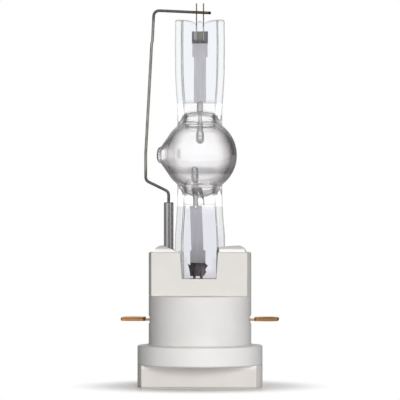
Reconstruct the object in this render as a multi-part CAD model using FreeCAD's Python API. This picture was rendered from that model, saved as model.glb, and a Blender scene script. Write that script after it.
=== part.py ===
"""Double-ended quartz discharge lamp on a 50 mm quick-fit ceramic cap.

All lengths are millimetres.
The lamp axis is +Z, the grip bar stands on Z = 0 and the front faces -Y.
The contact blades point along X.
"""
import FreeCAD
import Part
import math
import os

# Ceramic cap
CAP_R = 25.0
GRIP_HALF_DEPTH = 10.2
GRIP_HEIGHT = 8.7
FLANGE_THICKNESS = 7.7
BODY_R = 20.5
BODY_HEIGHT = 19.9
BODY_FILLET_R = 1.2
BAR_HALF_DEPTH = 7.6
BAR_HEIGHT = 17.3
CAP_EDGE_R = 0.5
LIP_CHAMFER = 0.4
FLANGE_TOP_Z = GRIP_HEIGHT + FLANGE_THICKNESS
BODY_TOP_Z = FLANGE_TOP_Z + BODY_HEIGHT
BAR_TOP_Z = BODY_TOP_Z + BAR_HEIGHT

# Well in the upper bar and wiring chamber below it
WELL_DEPTH = 12.6
WELL_END_WALL = 2.1
WELL_SIDE_WALL = 2.6
CHAMBER_SILL = 8.1
CHAMBER_END_ROOM = 3.0
CHAMBER_HALF_DEPTH = 2.4
WELL_FLOOR_Z = BAR_TOP_Z - WELL_DEPTH
WELL_HALF_LENGTH = BODY_R - WELL_END_WALL
WELL_HALF_DEPTH = BAR_HALF_DEPTH - WELL_SIDE_WALL
CHAMBER_FLOOR_Z = FLANGE_TOP_Z + CHAMBER_SILL

# Quartz bulb, with the tip-off on the left
BULB_R = 14.8
BULB_WALL = 1.6
TIP_CONE_INSET = 3.6
TIP_CONE_REACH = 1.4
TIP_NIB = 1.2
TIP_NECK_R = 3.0
TIP_CONE_X = BULB_R - TIP_CONE_INSET
TIP_NECK_X = BULB_R + TIP_CONE_REACH
TIP_END_X = TIP_NECK_X + TIP_NIB

# Quartz necks, reaches measured from the bulb centre
NECK_HALF_WIDTH = 8.9
NECK_HALF_DEPTH = 7.6
NECK_CORNER_R = 2.5
NECK_WALL = 1.2
NECK_DOME_RISE = 1.0
NECK_SHOULDER = 0.3
UPPER_NECK_LENGTH = 2.1
LOWER_NECK_LENGTH = 0.9
UPPER_SEAL_LENGTH = 3.6
LOWER_SEAL_LENGTH = 4.2
NECK_BORE_R = NECK_HALF_DEPTH - NECK_WALL
NECK_PRESS_REACH = math.sqrt(BULB_R ** 2 - NECK_HALF_DEPTH ** 2)
NECK_STRAIGHT_REACH = BULB_R + NECK_SHOULDER
UPPER_CAVITY_REACH = NECK_STRAIGHT_REACH + UPPER_NECK_LENGTH
LOWER_CAVITY_REACH = NECK_STRAIGHT_REACH + LOWER_NECK_LENGTH
UPPER_FLAT_REACH = UPPER_CAVITY_REACH + UPPER_SEAL_LENGTH
LOWER_FLAT_REACH = LOWER_CAVITY_REACH + LOWER_SEAL_LENGTH

# Ribbed pinches
PINCH_HALF_WIDTH = 9.9
PINCH_FLARE_LENGTH = 14.2
RIB_WIDTH = 2.6
RIB_HALF_DEPTH = 3.0
RIB_CORNER_R = 1.2
WEB_HALF_DEPTH = 1.4
CHANNEL_RAMP = 0.5
NECK_STEPS = 5
TAPER_STEPS = 4
MENISCUS_R = 3.0
MENISCUS_DEPTH = 1.6
PINCH_FULL_REACH = UPPER_FLAT_REACH + PINCH_FLARE_LENGTH

# Foils, foil plates and lead clips along the two pinches
UPPER_FOIL_LENGTH = 18.3
UPPER_PLATE_LENGTH = 5.5
UPPER_CLIP_HEIGHT = 4.8
UPPER_CLIP_COVER = 4.6
LOWER_FOIL_LENGTH = 17.9
LOWER_PLATE_LENGTH = 5.0
LOWER_CLIP_HEIGHT = 5.3
LOWER_CLIP_COVER = 3.0
FOIL_THICKNESS = 0.1
FOIL_HALF_WIDTH = 2.4
FOIL_PLATE_OVERLAP = 2.0
PLATE_THICKNESS = 0.3
PLATE_INSET = 0.15
PLATE_GRIP = 0.7
CLIP_HALF_WIDTH = 3.2
CLIP_COLUMN_WIDTH = 0.9
CLIP_BAR_HEIGHT = 1.0
CLIP_HALF_DEPTH = 0.55
LOWER_CLIP_HALF_DEPTH = 0.75
LOWER_SET_X = -0.85
PRONG_REACH = 0.8
PRONG_HEIGHT = 1.1
CREASE_DEPTH = 0.25
CLIP_NICK = 0.2
CLIP_BULGE = 0.3
CLIP_WAIST = 0.5
PLATE_HALF_WIDTH = CLIP_HALF_WIDTH - PLATE_INSET
LOWER_END_REACH = (LOWER_FLAT_REACH + LOWER_FOIL_LENGTH + LOWER_PLATE_LENGTH
                   + LOWER_CLIP_HEIGHT + LOWER_CLIP_COVER)
BULB_Z = WELL_FLOOR_Z + LOWER_END_REACH
UPPER_FLAT_Z = BULB_Z + UPPER_FLAT_REACH
UPPER_PLATE_Z = UPPER_FLAT_Z + UPPER_FOIL_LENGTH
UPPER_CLIP_Z = UPPER_PLATE_Z + UPPER_PLATE_LENGTH
UPPER_CLIP_TOP_Z = UPPER_CLIP_Z + UPPER_CLIP_HEIGHT
PINCH_TOP_Z = UPPER_CLIP_TOP_Z + UPPER_CLIP_COVER
UPPER_END_REACH = PINCH_TOP_Z - BULB_Z
LOWER_FLAT_Z = BULB_Z - LOWER_FLAT_REACH
LOWER_PLATE_Z = LOWER_FLAT_Z - LOWER_FOIL_LENGTH
LOWER_CLIP_TOP_Z = LOWER_PLATE_Z - LOWER_PLATE_LENGTH
LOWER_CLIP_Z = LOWER_CLIP_TOP_Z - LOWER_CLIP_HEIGHT

# Window slots in the front and back of the upper bar
SLOT_RIB_LAP = 0.3
SLOT_TAPER = 0.7
SLOT_DEPTH = 10.6
SLOT_TOP_HALF_WIDTH = PINCH_HALF_WIDTH - RIB_WIDTH + SLOT_RIB_LAP
SLOT_FLOOR_HALF_WIDTH = SLOT_TOP_HALF_WIDTH - SLOT_TAPER
SLOT_FLOOR_Z = BAR_TOP_Z - SLOT_DEPTH

# Cement
CEMENT_INSET = 0.3
CEMENT_EDGE_STEP = 0.5
CEMENT_PEAK_INSET = 3.9
CEMENT_RISE = 2.6
CEMENT_CROWN = 1.4
RIGHT_INNER_RISE = 2.1
CEMENT_INNER_X = SLOT_TOP_HALF_WIDTH + CEMENT_INSET
CEMENT_EDGE_X = CEMENT_INNER_X + CEMENT_EDGE_STEP
CEMENT_PEAK_X = WELL_HALF_LENGTH - CEMENT_PEAK_INSET

# Electrodes
ARC_GAP = 8.9
ROD_R = 0.65
ROD_FOIL_OVERLAP = 1.0
HEAD_LENGTH = 4.7
HEAD_R = 1.62
COIL_LENGTH = 2.8
COIL_R = 1.32
COIL_GROOVE = 0.22
HEAD_TURNS = 7
COIL_TURNS = 4
UPPER_WRAP_R = 1.25
LOWER_WRAP_R = 1.0
LOWER_LEAN_DEG = -2.1
LOWER_PIVOT_INSET = 0.13
TIP_REACH = ARC_GAP / 2
LOWER_PIVOT_X = LOWER_SET_X - LOWER_PIVOT_INSET

# Flared end of the lower wrap
SHEET_THICKNESS = 0.3
SHEET_SEAT = 0.1
SHEET_WIDTH = 2.45
SHEET_HEIGHT = 3.6
SHEET_LEG_REACH = 3.5
SHEET_LEG_WIDTH = 0.6

# Lead wires
LEAD_HALF_PITCH = 1.4
UPPER_LEAD_R = 0.25
UPPER_LEAD_RISE = 6.6
LOWER_LEAD_R = 0.55
LOWER_LEAD_GRIP = 3.5
UPPER_LEAD_TOP_Z = PINCH_TOP_Z + UPPER_LEAD_RISE
LOWER_LEAD_TOP_Z = LOWER_CLIP_Z + LOWER_LEAD_GRIP

# Return lead and its sleeve, on the side of the tip-off
RETURN_R = 0.575
WELD_SINK = 0.065
SIDE_GAP = 3.725
SLEEVE_GAP = 0.65
SLEEVE_R = 1.95
SLEEVE_CHAMFER = 0.3
SLEEVE_RISE = 19.9
SLEEVE_CEMENT_BED = 2.0
ARM_RISE = 2.7
ARM_OVERHANG = 3.0
ARM_TILT = 1.1
ARM_BEND_INSET = 3.3
JOG_INSET = 0.6
JOG_DROP = 12.1
JOG_STEP_X = 0.3
JOG_STEP_Z = 1.2
SIDE_TOP_RISE = 0.6
SIDE_END_DROP = 10.2
ELBOW_DROP = 4.5
ARM_BEND_R = 2.2
JOG_BEND_R = 3.0
SIDE_BEND_R = 20.0
ELBOW_BEND_R = 2.2
RETURN_Y = WELD_SINK - RETURN_R - UPPER_LEAD_R
SIDE_X = -(TIP_END_X + SIDE_GAP + RETURN_R)
SLEEVE_X = -(PINCH_HALF_WIDTH + SLEEVE_GAP + SLEEVE_R)
SLEEVE_TOP_Z = BAR_TOP_Z + SLEEVE_RISE
SLEEVE_FOOT_Z = WELL_FLOOR_Z + SLEEVE_CEMENT_BED
ARM_END_X = LEAD_HALF_PITCH + ARM_OVERHANG
ARM_END_Z = PINCH_TOP_Z + ARM_RISE
ARM_BEND_X = SIDE_X + ARM_BEND_INSET
ARM_BEND_Z = ARM_END_Z + ARM_TILT
JOG_TOP_X = ARM_BEND_X - JOG_INSET
JOG_TOP_Z = ARM_BEND_Z - JOG_DROP
SIDE_TOP_Z = BULB_Z + SIDE_TOP_RISE
SIDE_END_Z = BULB_Z - SIDE_END_DROP
ELBOW_Z = SIDE_END_Z - ELBOW_DROP

# Contact blades, hemmed from thin strip
BLADE_SILL = 2.4
BLADE_REACH = 11.1
BLADE_ROOT_GAP = 1.3
BLADE_HALF_WIDTH = 4.0
BLADE_THICKNESS = 1.5
BLADE_BOW = 0.08
BLADE_CORNER_R = 1.2
HEM_SLIT = 0.12
HEM_FOLD = 0.7
TONGUE_THICKNESS = 0.9
TONGUE_HALF_WIDTH = 2.2
TONGUE_LAP = 1.7
MOUTH_HALF_WIDTH = 5.0
MOUTH_HEIGHT = 3.4
MOUTH_DEPTH = 0.8
BLADE_Z = CHAMBER_FLOOR_Z + BLADE_SILL
BLADE_TIP_X = BODY_R + BLADE_REACH
BLADE_ROOT_X = BODY_R + BLADE_ROOT_GAP
TONGUE_Z = BLADE_Z - (BLADE_THICKNESS - TONGUE_THICKNESS) / 2
TONGUE_TOP_Z = TONGUE_Z + TONGUE_THICKNESS / 2
TONGUE_INNER_X = -SLEEVE_X - TONGUE_LAP
RETURN_END_DROP = 0.25
RETURN_END_Z = TONGUE_TOP_Z - TONGUE_THICKNESS - RETURN_END_DROP
CHAMBER_HALF_LENGTH = -SLEEVE_X + CHAMBER_END_ROOM

# Connector strip inside the cap
STRIP_THICKNESS = 0.4
STRIP_HALF_WIDTH = 1.5
STRIP_DROP = 8.0
STRIP_MARGIN = 0.4
STRIP_FOOT_INSET = 1.2
STRIP_FOOT_LENGTH = 2.6
LOWER_LEAD_TAIL = 0.6
STRIP_Z = WELL_FLOOR_Z - STRIP_DROP
STRIP_START_X = LOWER_SET_X - LEAD_HALF_PITCH - LOWER_LEAD_R - STRIP_MARGIN
STRIP_DROP_X = TONGUE_INNER_X + STRIP_FOOT_INSET
STRIP_FOOT_X = STRIP_DROP_X + STRIP_FOOT_LENGTH
LOWER_LEAD_END_Z = STRIP_Z - LOWER_LEAD_TAIL

# Reach of the cutting tools past the solids that they cut
OVER = 1.0

# How far an edge may stray and still count as upright or level
EDGE_SLACK = 0.15

Z_AXIS = FreeCAD.Vector(0, 0, 1)
ORIGIN = FreeCAD.Vector(0, 0, 0)


def vec(x, y, z):
    return FreeCAD.Vector(x, y, z)


def block(x_lo, x_hi, y_lo, y_hi, z_lo, z_hi):
    """Box between two corners."""
    return Part.makeBox(x_hi - x_lo, y_hi - y_lo, z_hi - z_lo, vec(x_lo, y_lo, z_lo))


def post(radius, x, y, z_lo, z_hi):
    """Upright cylinder."""
    return Part.makeCylinder(radius, z_hi - z_lo, vec(x, y, z_lo))


def front_prism(points, y_lo, y_hi):
    """Extrude an outline of (x, z) points between two depths."""
    corners = [vec(x, y_lo, z) for x, z in points]
    face = Part.Face(Part.makePolygon(corners + corners[:1]))
    return face.extrude(vec(0, y_hi - y_lo, 0))


def side_prism(points, x_lo, x_hi):
    """Extrude an outline of (y, z) points between two x positions."""
    corners = [vec(x_lo, y, z) for y, z in points]
    face = Part.Face(Part.makePolygon(corners + corners[:1]))
    return face.extrude(vec(x_hi - x_lo, 0, 0))


def ease(t):
    """Smooth step from 0 to 1."""
    t = min(max(t, 0.0), 1.0)
    return t * t * (3.0 - 2.0 * t)


def mix(a, b, t):
    return a + (b - a) * t


def upright_edges(shape):
    """Edges that run parallel to the lamp axis."""
    found = []
    for edge in shape.Edges:
        run = edge.Vertexes[-1].Point - edge.Vertexes[0].Point
        if abs(run.z) > OVER / 2 and math.hypot(run.x, run.y) < EDGE_SLACK:
            found.append(edge)
    return found


def edges_at_height(shape, z):
    """Edges that lie wholly in one level plane."""
    found = []
    for edge in shape.Edges:
        box = edge.BoundBox
        if abs(box.ZMin - z) < EDGE_SLACK and abs(box.ZMax - z) < EDGE_SLACK:
            found.append(edge)
    return found


def cap_bar(radius, half_depth, z_lo, z_hi, rounded_z):
    """Bar with flat front and back whose ends follow the cap circle."""
    disc = post(radius, 0, 0, z_lo, z_hi)
    slab = block(-radius, radius, -half_depth, half_depth, z_lo, z_hi)
    bar = disc.common(slab)
    bar = bar.makeFillet(CAP_EDGE_R, upright_edges(bar))
    return bar.makeFillet(CAP_EDGE_R, edges_at_height(bar, rounded_z))


def cap_body():
    """Disc flange and cylinder with a rounded inner corner, turned in one profile."""
    a = vec(0, 0, GRIP_HEIGHT)
    b = vec(CAP_R - LIP_CHAMFER, 0, GRIP_HEIGHT)
    c = vec(CAP_R, 0, GRIP_HEIGHT + LIP_CHAMFER)
    d = vec(CAP_R, 0, FLANGE_TOP_Z - LIP_CHAMFER)
    e = vec(CAP_R - LIP_CHAMFER, 0, FLANGE_TOP_Z)
    f = vec(BODY_R + BODY_FILLET_R, 0, FLANGE_TOP_Z)
    g = vec(BODY_R, 0, FLANGE_TOP_Z + BODY_FILLET_R)
    h = vec(BODY_R, 0, BODY_TOP_Z - LIP_CHAMFER)
    i = vec(BODY_R - LIP_CHAMFER, 0, BODY_TOP_Z)
    j = vec(0, 0, BODY_TOP_Z)
    bulge = BODY_FILLET_R * (1.0 - math.sqrt(0.5))
    mid = vec(BODY_R + bulge, 0, FLANGE_TOP_Z + bulge)
    straight = [(a, b), (b, c), (c, d), (d, e), (e, f), (g, h), (h, i), (i, j), (j, a)]
    edges = [Part.makeLine(p, q) for p, q in straight]
    edges.append(Part.Arc(f, mid, g).toShape())
    wire = Part.Wire(Part.__sortEdges__(edges))
    return Part.Face(wire).revolve(ORIGIN, Z_AXIS, 360)


def blade_slot(side):
    """Opening for one blade tongue with its countersunk mouth."""
    low = TONGUE_TOP_Z - TONGUE_THICKNESS
    slot = block(CHAMBER_HALF_LENGTH - OVER, BODY_R + OVER, -TONGUE_HALF_WIDTH,
                 TONGUE_HALF_WIDTH, low, TONGUE_TOP_Z)
    inner_x = math.sqrt(BODY_R ** 2 - MOUTH_HALF_WIDTH ** 2) - MOUTH_DEPTH
    tall = MOUTH_HEIGHT / 2
    outline = [(inner_x, low),
               (BODY_R + OVER, BLADE_Z - tall - OVER),
               (BODY_R + OVER, BLADE_Z + tall + OVER),
               (inner_x, TONGUE_TOP_Z)]
    mouth = front_prism(outline, -MOUTH_HALF_WIDTH, MOUTH_HALF_WIDTH)
    opening = slot.fuse(mouth)
    if side < 0:
        opening = opening.mirror(ORIGIN, vec(1, 0, 0))
    return opening


def ceramic_cap():
    """Moulded cap: grip bar, flange, cylinder and slotted upper bar."""
    cap = cap_bar(CAP_R, GRIP_HALF_DEPTH, 0, GRIP_HEIGHT, 0)
    cap = cap.fuse(cap_body())
    cap = cap.fuse(cap_bar(BODY_R, BAR_HALF_DEPTH, BODY_TOP_Z, BAR_TOP_Z, BAR_TOP_Z))
    well = block(-WELL_HALF_LENGTH, WELL_HALF_LENGTH, -WELL_HALF_DEPTH, WELL_HALF_DEPTH,
                 WELL_FLOOR_Z, BAR_TOP_Z + OVER)
    chamber = block(-CHAMBER_HALF_LENGTH, CHAMBER_HALF_LENGTH, -CHAMBER_HALF_DEPTH,
                    CHAMBER_HALF_DEPTH, CHAMBER_FLOOR_Z, WELL_FLOOR_Z + OVER)
    flare = (SLOT_TOP_HALF_WIDTH - SLOT_FLOOR_HALF_WIDTH) / (BAR_TOP_Z - SLOT_FLOOR_Z)
    slot_top = SLOT_TOP_HALF_WIDTH + flare * OVER
    outline = [(-SLOT_FLOOR_HALF_WIDTH, SLOT_FLOOR_Z),
               (SLOT_FLOOR_HALF_WIDTH, SLOT_FLOOR_Z),
               (slot_top, BAR_TOP_Z + OVER),
               (-slot_top, BAR_TOP_Z + OVER)]
    window = front_prism(outline, -BAR_HALF_DEPTH - OVER, BAR_HALF_DEPTH + OVER)
    cap = cap.cut(well.fuse(window).fuse(chamber))
    cap = cap.cut(blade_slot(1))
    cap = cap.cut(blade_slot(-1))
    return cap.removeSplitter()


def contact_blade(side):
    """Strip whose end is folded back over itself: thin tongue, thick blade, round nose."""
    half = BLADE_THICKNESS / 2
    nose_x = BLADE_TIP_X - half
    mid_x = (BLADE_ROOT_X + nose_x) / 2
    a = vec(BLADE_ROOT_X, -BLADE_HALF_WIDTH, BLADE_Z - half)
    b = vec(nose_x, -BLADE_HALF_WIDTH, BLADE_Z - half)
    c = vec(nose_x, -BLADE_HALF_WIDTH, BLADE_Z + half)
    d = vec(BLADE_ROOT_X, -BLADE_HALF_WIDTH, BLADE_Z + half)
    nose = vec(BLADE_TIP_X, -BLADE_HALF_WIDTH, BLADE_Z)
    under = vec(mid_x, -BLADE_HALF_WIDTH, BLADE_Z - half - BLADE_BOW)
    over = vec(mid_x, -BLADE_HALF_WIDTH, BLADE_Z + half + BLADE_BOW)
    edges = [Part.Arc(a, under, b).toShape(),
             Part.Arc(b, nose, c).toShape(),
             Part.Arc(c, over, d).toShape(),
             Part.makeLine(d, a)]
    head = Part.Face(Part.Wire(edges)).extrude(vec(0, 2 * BLADE_HALF_WIDTH, 0))
    plan = block(BLADE_ROOT_X, BLADE_TIP_X, -BLADE_HALF_WIDTH, BLADE_HALF_WIDTH,
                 BLADE_Z - BLADE_THICKNESS, BLADE_Z + BLADE_THICKNESS)
    plan = plan.makeFillet(BLADE_CORNER_R, upright_edges(plan))
    head = head.common(plan)
    slit = block(BLADE_ROOT_X - OVER, nose_x - HEM_FOLD, -BLADE_HALF_WIDTH - OVER,
                 BLADE_HALF_WIDTH + OVER, TONGUE_TOP_Z, TONGUE_TOP_Z + HEM_SLIT)
    head = head.cut(slit)
    tongue = block(TONGUE_INNER_X, BLADE_ROOT_X + OVER, -TONGUE_HALF_WIDTH,
                   TONGUE_HALF_WIDTH, TONGUE_TOP_Z - TONGUE_THICKNESS, TONGUE_TOP_Z)
    blade = head.fuse(tongue).removeSplitter()
    if side < 0:
        blade = blade.mirror(ORIGIN, vec(1, 0, 0))
    return blade


def cement_block(side, inner_rise):
    """Cement fill of one end of the well, domed on top, with its own height at the glass."""
    top_z = BAR_TOP_Z + CEMENT_RISE
    inner_z = BAR_TOP_Z + inner_rise
    low = WELL_FLOOR_Z
    a = vec(CEMENT_INNER_X, 0, low)
    b = vec(WELL_HALF_LENGTH, 0, low)
    c = vec(WELL_HALF_LENGTH, 0, BAR_TOP_Z)
    d = vec(CEMENT_PEAK_X, 0, top_z)
    e = vec(CEMENT_EDGE_X, 0, inner_z)
    f = vec(CEMENT_INNER_X, 0, inner_z - CEMENT_EDGE_STEP)
    arc_x = mix(CEMENT_PEAK_X, WELL_HALF_LENGTH, math.sqrt(0.5))
    arc_z = mix(BAR_TOP_Z, top_z, math.sqrt(0.5))
    edges = [Part.makeLine(a, b),
             Part.makeLine(b, c),
             Part.Arc(c, vec(arc_x, 0, arc_z), d).toShape(),
             Part.makeLine(d, e),
             Part.makeLine(e, f),
             Part.makeLine(f, a)]
    profile = Part.Face(Part.Wire(edges))
    profile.translate(vec(0, -WELL_HALF_DEPTH, 0))
    long_fill = profile.extrude(vec(0, 2 * WELL_HALF_DEPTH, 0))
    crown = [vec(0, -WELL_HALF_DEPTH, BAR_TOP_Z + CEMENT_RISE - CEMENT_CROWN),
             vec(0, 0, top_z),
             vec(0, WELL_HALF_DEPTH, BAR_TOP_Z + CEMENT_RISE - CEMENT_CROWN)]
    foot_left = vec(0, -WELL_HALF_DEPTH, low)
    foot_right = vec(0, WELL_HALF_DEPTH, low)
    edges = [Part.makeLine(foot_left, crown[0]),
             Part.Arc(crown[0], crown[1], crown[2]).toShape(),
             Part.makeLine(crown[2], foot_right),
             Part.makeLine(foot_right, foot_left)]
    cross = Part.Face(Part.Wire(edges)).extrude(vec(WELL_HALF_LENGTH, 0, 0))
    fill = long_fill.common(cross)
    if side < 0:
        fill = fill.mirror(ORIGIN, vec(1, 0, 0))
    return fill


def round_section(half_width, half_depth, corner, z):
    """Level outline with four straights and four corner arcs."""
    cx = half_width - corner
    cy = half_depth - corner
    diag = corner * math.sqrt(0.5)
    edges = []
    for quarter in range(4):
        sx = (1, -1, -1, 1)[quarter]
        sy = (1, 1, -1, -1)[quarter]
        side = vec(sx * half_width, sy * cy, z)
        bend = vec(sx * (cx + diag), sy * (cy + diag), z)
        face = vec(sx * cx, sy * half_depth, z)
        start = side if quarter % 2 == 0 else face
        end = face if quarter % 2 == 0 else side
        edges.append((start, bend, end))
    wire_edges = []
    for index, (start, bend, end) in enumerate(edges):
        wire_edges.append(Part.Arc(start, bend, end).toShape())
        following = edges[(index + 1) % 4][0]
        wire_edges.append(Part.makeLine(end, following))
    return Part.Wire(wire_edges)


def pinch_half_width(reach):
    """Outer half width of neck and pinch at a distance from the bulb centre."""
    t = (reach - NECK_STRAIGHT_REACH) / (PINCH_FULL_REACH - NECK_STRAIGHT_REACH)
    return mix(NECK_HALF_WIDTH, PINCH_HALF_WIDTH, ease(t))


def neck_section(reach, cavity_reach):
    """Outline that is pressed flatter from the bulb to the end of the chamber."""
    t = (reach - NECK_PRESS_REACH) / (cavity_reach - NECK_PRESS_REACH)
    t = min(max(t, 0), 1)
    half_depth = mix(NECK_HALF_DEPTH, RIB_HALF_DEPTH, t)
    corner = mix(NECK_CORNER_R, RIB_CORNER_R, t)
    return round_section(pinch_half_width(reach), half_depth, corner, reach)


def channel_cutter(flat_reach, end_reach):
    """Tool for one pressed face between the ribs, with a sloped start."""
    reaches = [flat_reach]
    for step in range(1, TAPER_STEPS + 1):
        reaches.append(mix(flat_reach, PINCH_FULL_REACH, step / TAPER_STEPS))
    right = [(pinch_half_width(r) - RIB_WIDTH, r) for r in reaches]
    first = right[0][0]
    last = right[-1][0]
    right = [(first, NECK_STRAIGHT_REACH)] + right + [(last, end_reach + OVER)]
    left = [(-x, r) for x, r in reversed(right)]
    deep = NECK_HALF_DEPTH + OVER
    plan = front_prism(right + left, -deep, -WEB_HALF_DEPTH)
    slope = [(-WEB_HALF_DEPTH, flat_reach),
             (-deep, flat_reach - CHANNEL_RAMP * (deep - WEB_HALF_DEPTH)),
             (-deep, end_reach + OVER),
             (-WEB_HALF_DEPTH, end_reach + OVER)]
    return plan.common(side_prism(slope, -PINCH_HALF_WIDTH, PINCH_HALF_WIDTH))


def pinched_stem(cavity_reach, flat_reach, end_reach):
    """Neck and ribbed pinch standing up from the bulb centre."""
    root = math.sqrt(BULB_R ** 2 - NECK_HALF_WIDTH ** 2 - NECK_HALF_DEPTH ** 2) - OVER
    reaches = [root, NECK_PRESS_REACH]
    for step in range(1, NECK_STEPS + 1):
        reaches.append(mix(NECK_PRESS_REACH, cavity_reach, step / NECK_STEPS))
    reaches.append(flat_reach)
    for step in range(1, TAPER_STEPS + 1):
        reaches.append(mix(flat_reach, PINCH_FULL_REACH, step / TAPER_STEPS))
    reaches.append(end_reach)
    wires = [neck_section(reach, cavity_reach) for reach in reaches]
    stem = Part.makeLoft(wires, True, True)
    front = channel_cutter(flat_reach, end_reach)
    back = front.mirror(ORIGIN, vec(0, 1, 0))
    return stem.cut(front).cut(back)


def cavity_wedge(cavity_reach):
    """Side profile one wall thickness inside the pressed faces of a neck."""
    rise = cavity_reach - NECK_PRESS_REACH
    fall = NECK_HALF_DEPTH - RIB_HALF_DEPTH
    end_depth = RIB_HALF_DEPTH - NECK_WALL * math.hypot(rise, fall) / rise
    foot = cavity_reach - (NECK_HALF_DEPTH - end_depth) * rise / fall
    front = [(NECK_HALF_DEPTH, -OVER),
             (NECK_HALF_DEPTH, foot),
             (end_depth, cavity_reach),
             (end_depth, cavity_reach + OVER)]
    back = [(-y, z) for y, z in reversed(front)]
    return side_prism(front + back, -NECK_HALF_WIDTH, NECK_HALF_WIDTH)


def cavity_stem(cavity_reach):
    """Bore of one neck, flattened towards a shallow domed end."""
    straight = cavity_reach - NECK_DOME_RISE
    a = vec(0, 0, 0)
    b = vec(NECK_BORE_R, 0, 0)
    c = vec(NECK_BORE_R, 0, straight)
    e = vec(0, 0, cavity_reach)
    dome_r = (NECK_BORE_R ** 2 + NECK_DOME_RISE ** 2) / (2 * NECK_DOME_RISE)
    half = NECK_BORE_R / 2
    d = vec(half, 0, cavity_reach - dome_r + math.sqrt(dome_r ** 2 - half ** 2))
    edges = [Part.makeLine(a, b), Part.makeLine(b, c), Part.Arc(c, d, e).toShape(), Part.makeLine(e, a)]
    bore = Part.Face(Part.Wire(edges)).revolve(ORIGIN, Z_AXIS, 360)
    return bore.common(cavity_wedge(cavity_reach))


def tip_off():
    """Cone and fused nib that close the exhaust opening on the left of the bulb."""
    base_r = math.sqrt(BULB_R ** 2 - TIP_CONE_X ** 2)
    start = vec(-TIP_CONE_X / 2, 0, 0)
    rim = vec(-TIP_CONE_X / 2, 0, base_r)
    a = vec(-TIP_CONE_X, 0, base_r)
    b = vec(-TIP_NECK_X, 0, TIP_NECK_R)
    d = vec(-TIP_END_X, 0, 0)
    nib = TIP_END_X - TIP_NECK_X
    nib_r = (TIP_NECK_R ** 2 + nib ** 2) / (2 * nib)
    half = TIP_NECK_R / 2
    c = vec(-(TIP_END_X - nib_r + math.sqrt(nib_r ** 2 - half ** 2)), 0, half)
    edges = [Part.makeLine(start, rim),
             Part.makeLine(rim, a),
             Part.makeLine(a, b),
             Part.Arc(b, c, d).toShape(),
             Part.makeLine(d, start)]
    return Part.Face(Part.Wire(edges)).revolve(ORIGIN, vec(1, 0, 0), 360)


def raised(shape):
    """Move a shape from the bulb centre origin to its place, reaches pointing up."""
    moved = shape.copy()
    moved.translate(vec(0, 0, BULB_Z))
    return moved


def lowered(shape):
    """Turn a shape about the bulb centre so that its reaches point down."""
    moved = shape.mirror(ORIGIN, Z_AXIS)
    moved.translate(vec(0, 0, BULB_Z))
    return moved


def quartz_envelope():
    """Fused quartz bulb with two necks, two ribbed pinches and the tip-off."""
    glass = raised(Part.makeSphere(BULB_R).fuse(tip_off()))
    upper = pinched_stem(UPPER_CAVITY_REACH, UPPER_FLAT_REACH, UPPER_END_REACH)
    lower = pinched_stem(LOWER_CAVITY_REACH, LOWER_FLAT_REACH, LOWER_END_REACH)
    glass = glass.fuse(raised(upper)).fuse(lowered(lower))
    hollow = raised(Part.makeSphere(BULB_R - BULB_WALL))
    hollow = hollow.fuse(raised(cavity_stem(UPPER_CAVITY_REACH)))
    hollow = hollow.fuse(lowered(cavity_stem(LOWER_CAVITY_REACH)))
    glass = glass.cut(hollow)
    dip_z = PINCH_TOP_Z - MENISCUS_DEPTH + MENISCUS_R
    for x in (-LEAD_HALF_PITCH, LEAD_HALF_PITCH):
        dip = Part.makeCylinder(MENISCUS_R, 2 * RIB_HALF_DEPTH, vec(x, -RIB_HALF_DEPTH, dip_z),
                                vec(0, 1, 0))
        glass = glass.cut(dip)
    return glass


def electrode_rod(flat_reach):
    """Straight tungsten rod from the coil head into the seal."""
    return post(ROD_R, 0, 0, TIP_REACH + ROD_R / 2, flat_reach + ROD_FOIL_OVERLAP)


def electrode_coil():
    """Grooved winding round the rod: a thick rounded head and a thinner tail."""
    points = [(ROD_R, TIP_REACH), (HEAD_R - 2 * COIL_GROOVE, TIP_REACH + COIL_GROOVE)]
    head_pitch = HEAD_LENGTH / HEAD_TURNS
    for turn in range(HEAD_TURNS):
        low = TIP_REACH + COIL_GROOVE + turn * head_pitch
        points.append((HEAD_R, low + head_pitch / 2))
        points.append((HEAD_R - COIL_GROOVE, low + head_pitch))
    tail = TIP_REACH + COIL_GROOVE + HEAD_LENGTH
    tail_pitch = COIL_LENGTH / COIL_TURNS
    for turn in range(COIL_TURNS):
        low = tail + turn * tail_pitch
        points.append((COIL_R, low + tail_pitch / 2))
        points.append((COIL_R - COIL_GROOVE, low + tail_pitch))
    points.append((ROD_R, tail + COIL_LENGTH))
    corners = [vec(r, 0, z) for r, z in points]
    face = Part.Face(Part.makePolygon(corners + corners[:1]))
    return face.revolve(ORIGIN, Z_AXIS, 360)


def electrode_wrap(radius, cavity_reach, flat_reach):
    """Foil wound round the rod where it passes through the seal."""
    wrap = post(radius, 0, 0, cavity_reach, flat_reach)
    return wrap.cut(post(ROD_R, 0, 0, cavity_reach - OVER, flat_reach + OVER))


def lower_sheet():
    """Flared end of the lower wrap, drawn with reaches pointing up."""
    top = LOWER_CAVITY_REACH - SHEET_HEIGHT / 2
    foot = LOWER_CAVITY_REACH + SHEET_HEIGHT / 2
    inner = ROD_R
    outer = SHEET_WIDTH
    reach = SHEET_LEG_REACH
    outline = [(-outer / 2, top),
               (outer, top),
               (reach, foot),
               (reach, LOWER_FLAT_REACH),
               (reach - SHEET_LEG_WIDTH, LOWER_FLAT_REACH),
               (reach - SHEET_LEG_WIDTH, foot),
               (inner + SHEET_LEG_WIDTH, LOWER_CAVITY_REACH),
               (-outer / 2, LOWER_CAVITY_REACH)]
    back = SHEET_SEAT - ROD_R
    return front_prism(outline, back - SHEET_THICKNESS, back)


def foil_strip(z_lo, z_hi):
    """Narrow sealing foil on the pinch mid plane."""
    half = FOIL_THICKNESS / 2
    return block(-FOIL_HALF_WIDTH, FOIL_HALF_WIDTH, -half, half, z_lo, z_hi)


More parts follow.
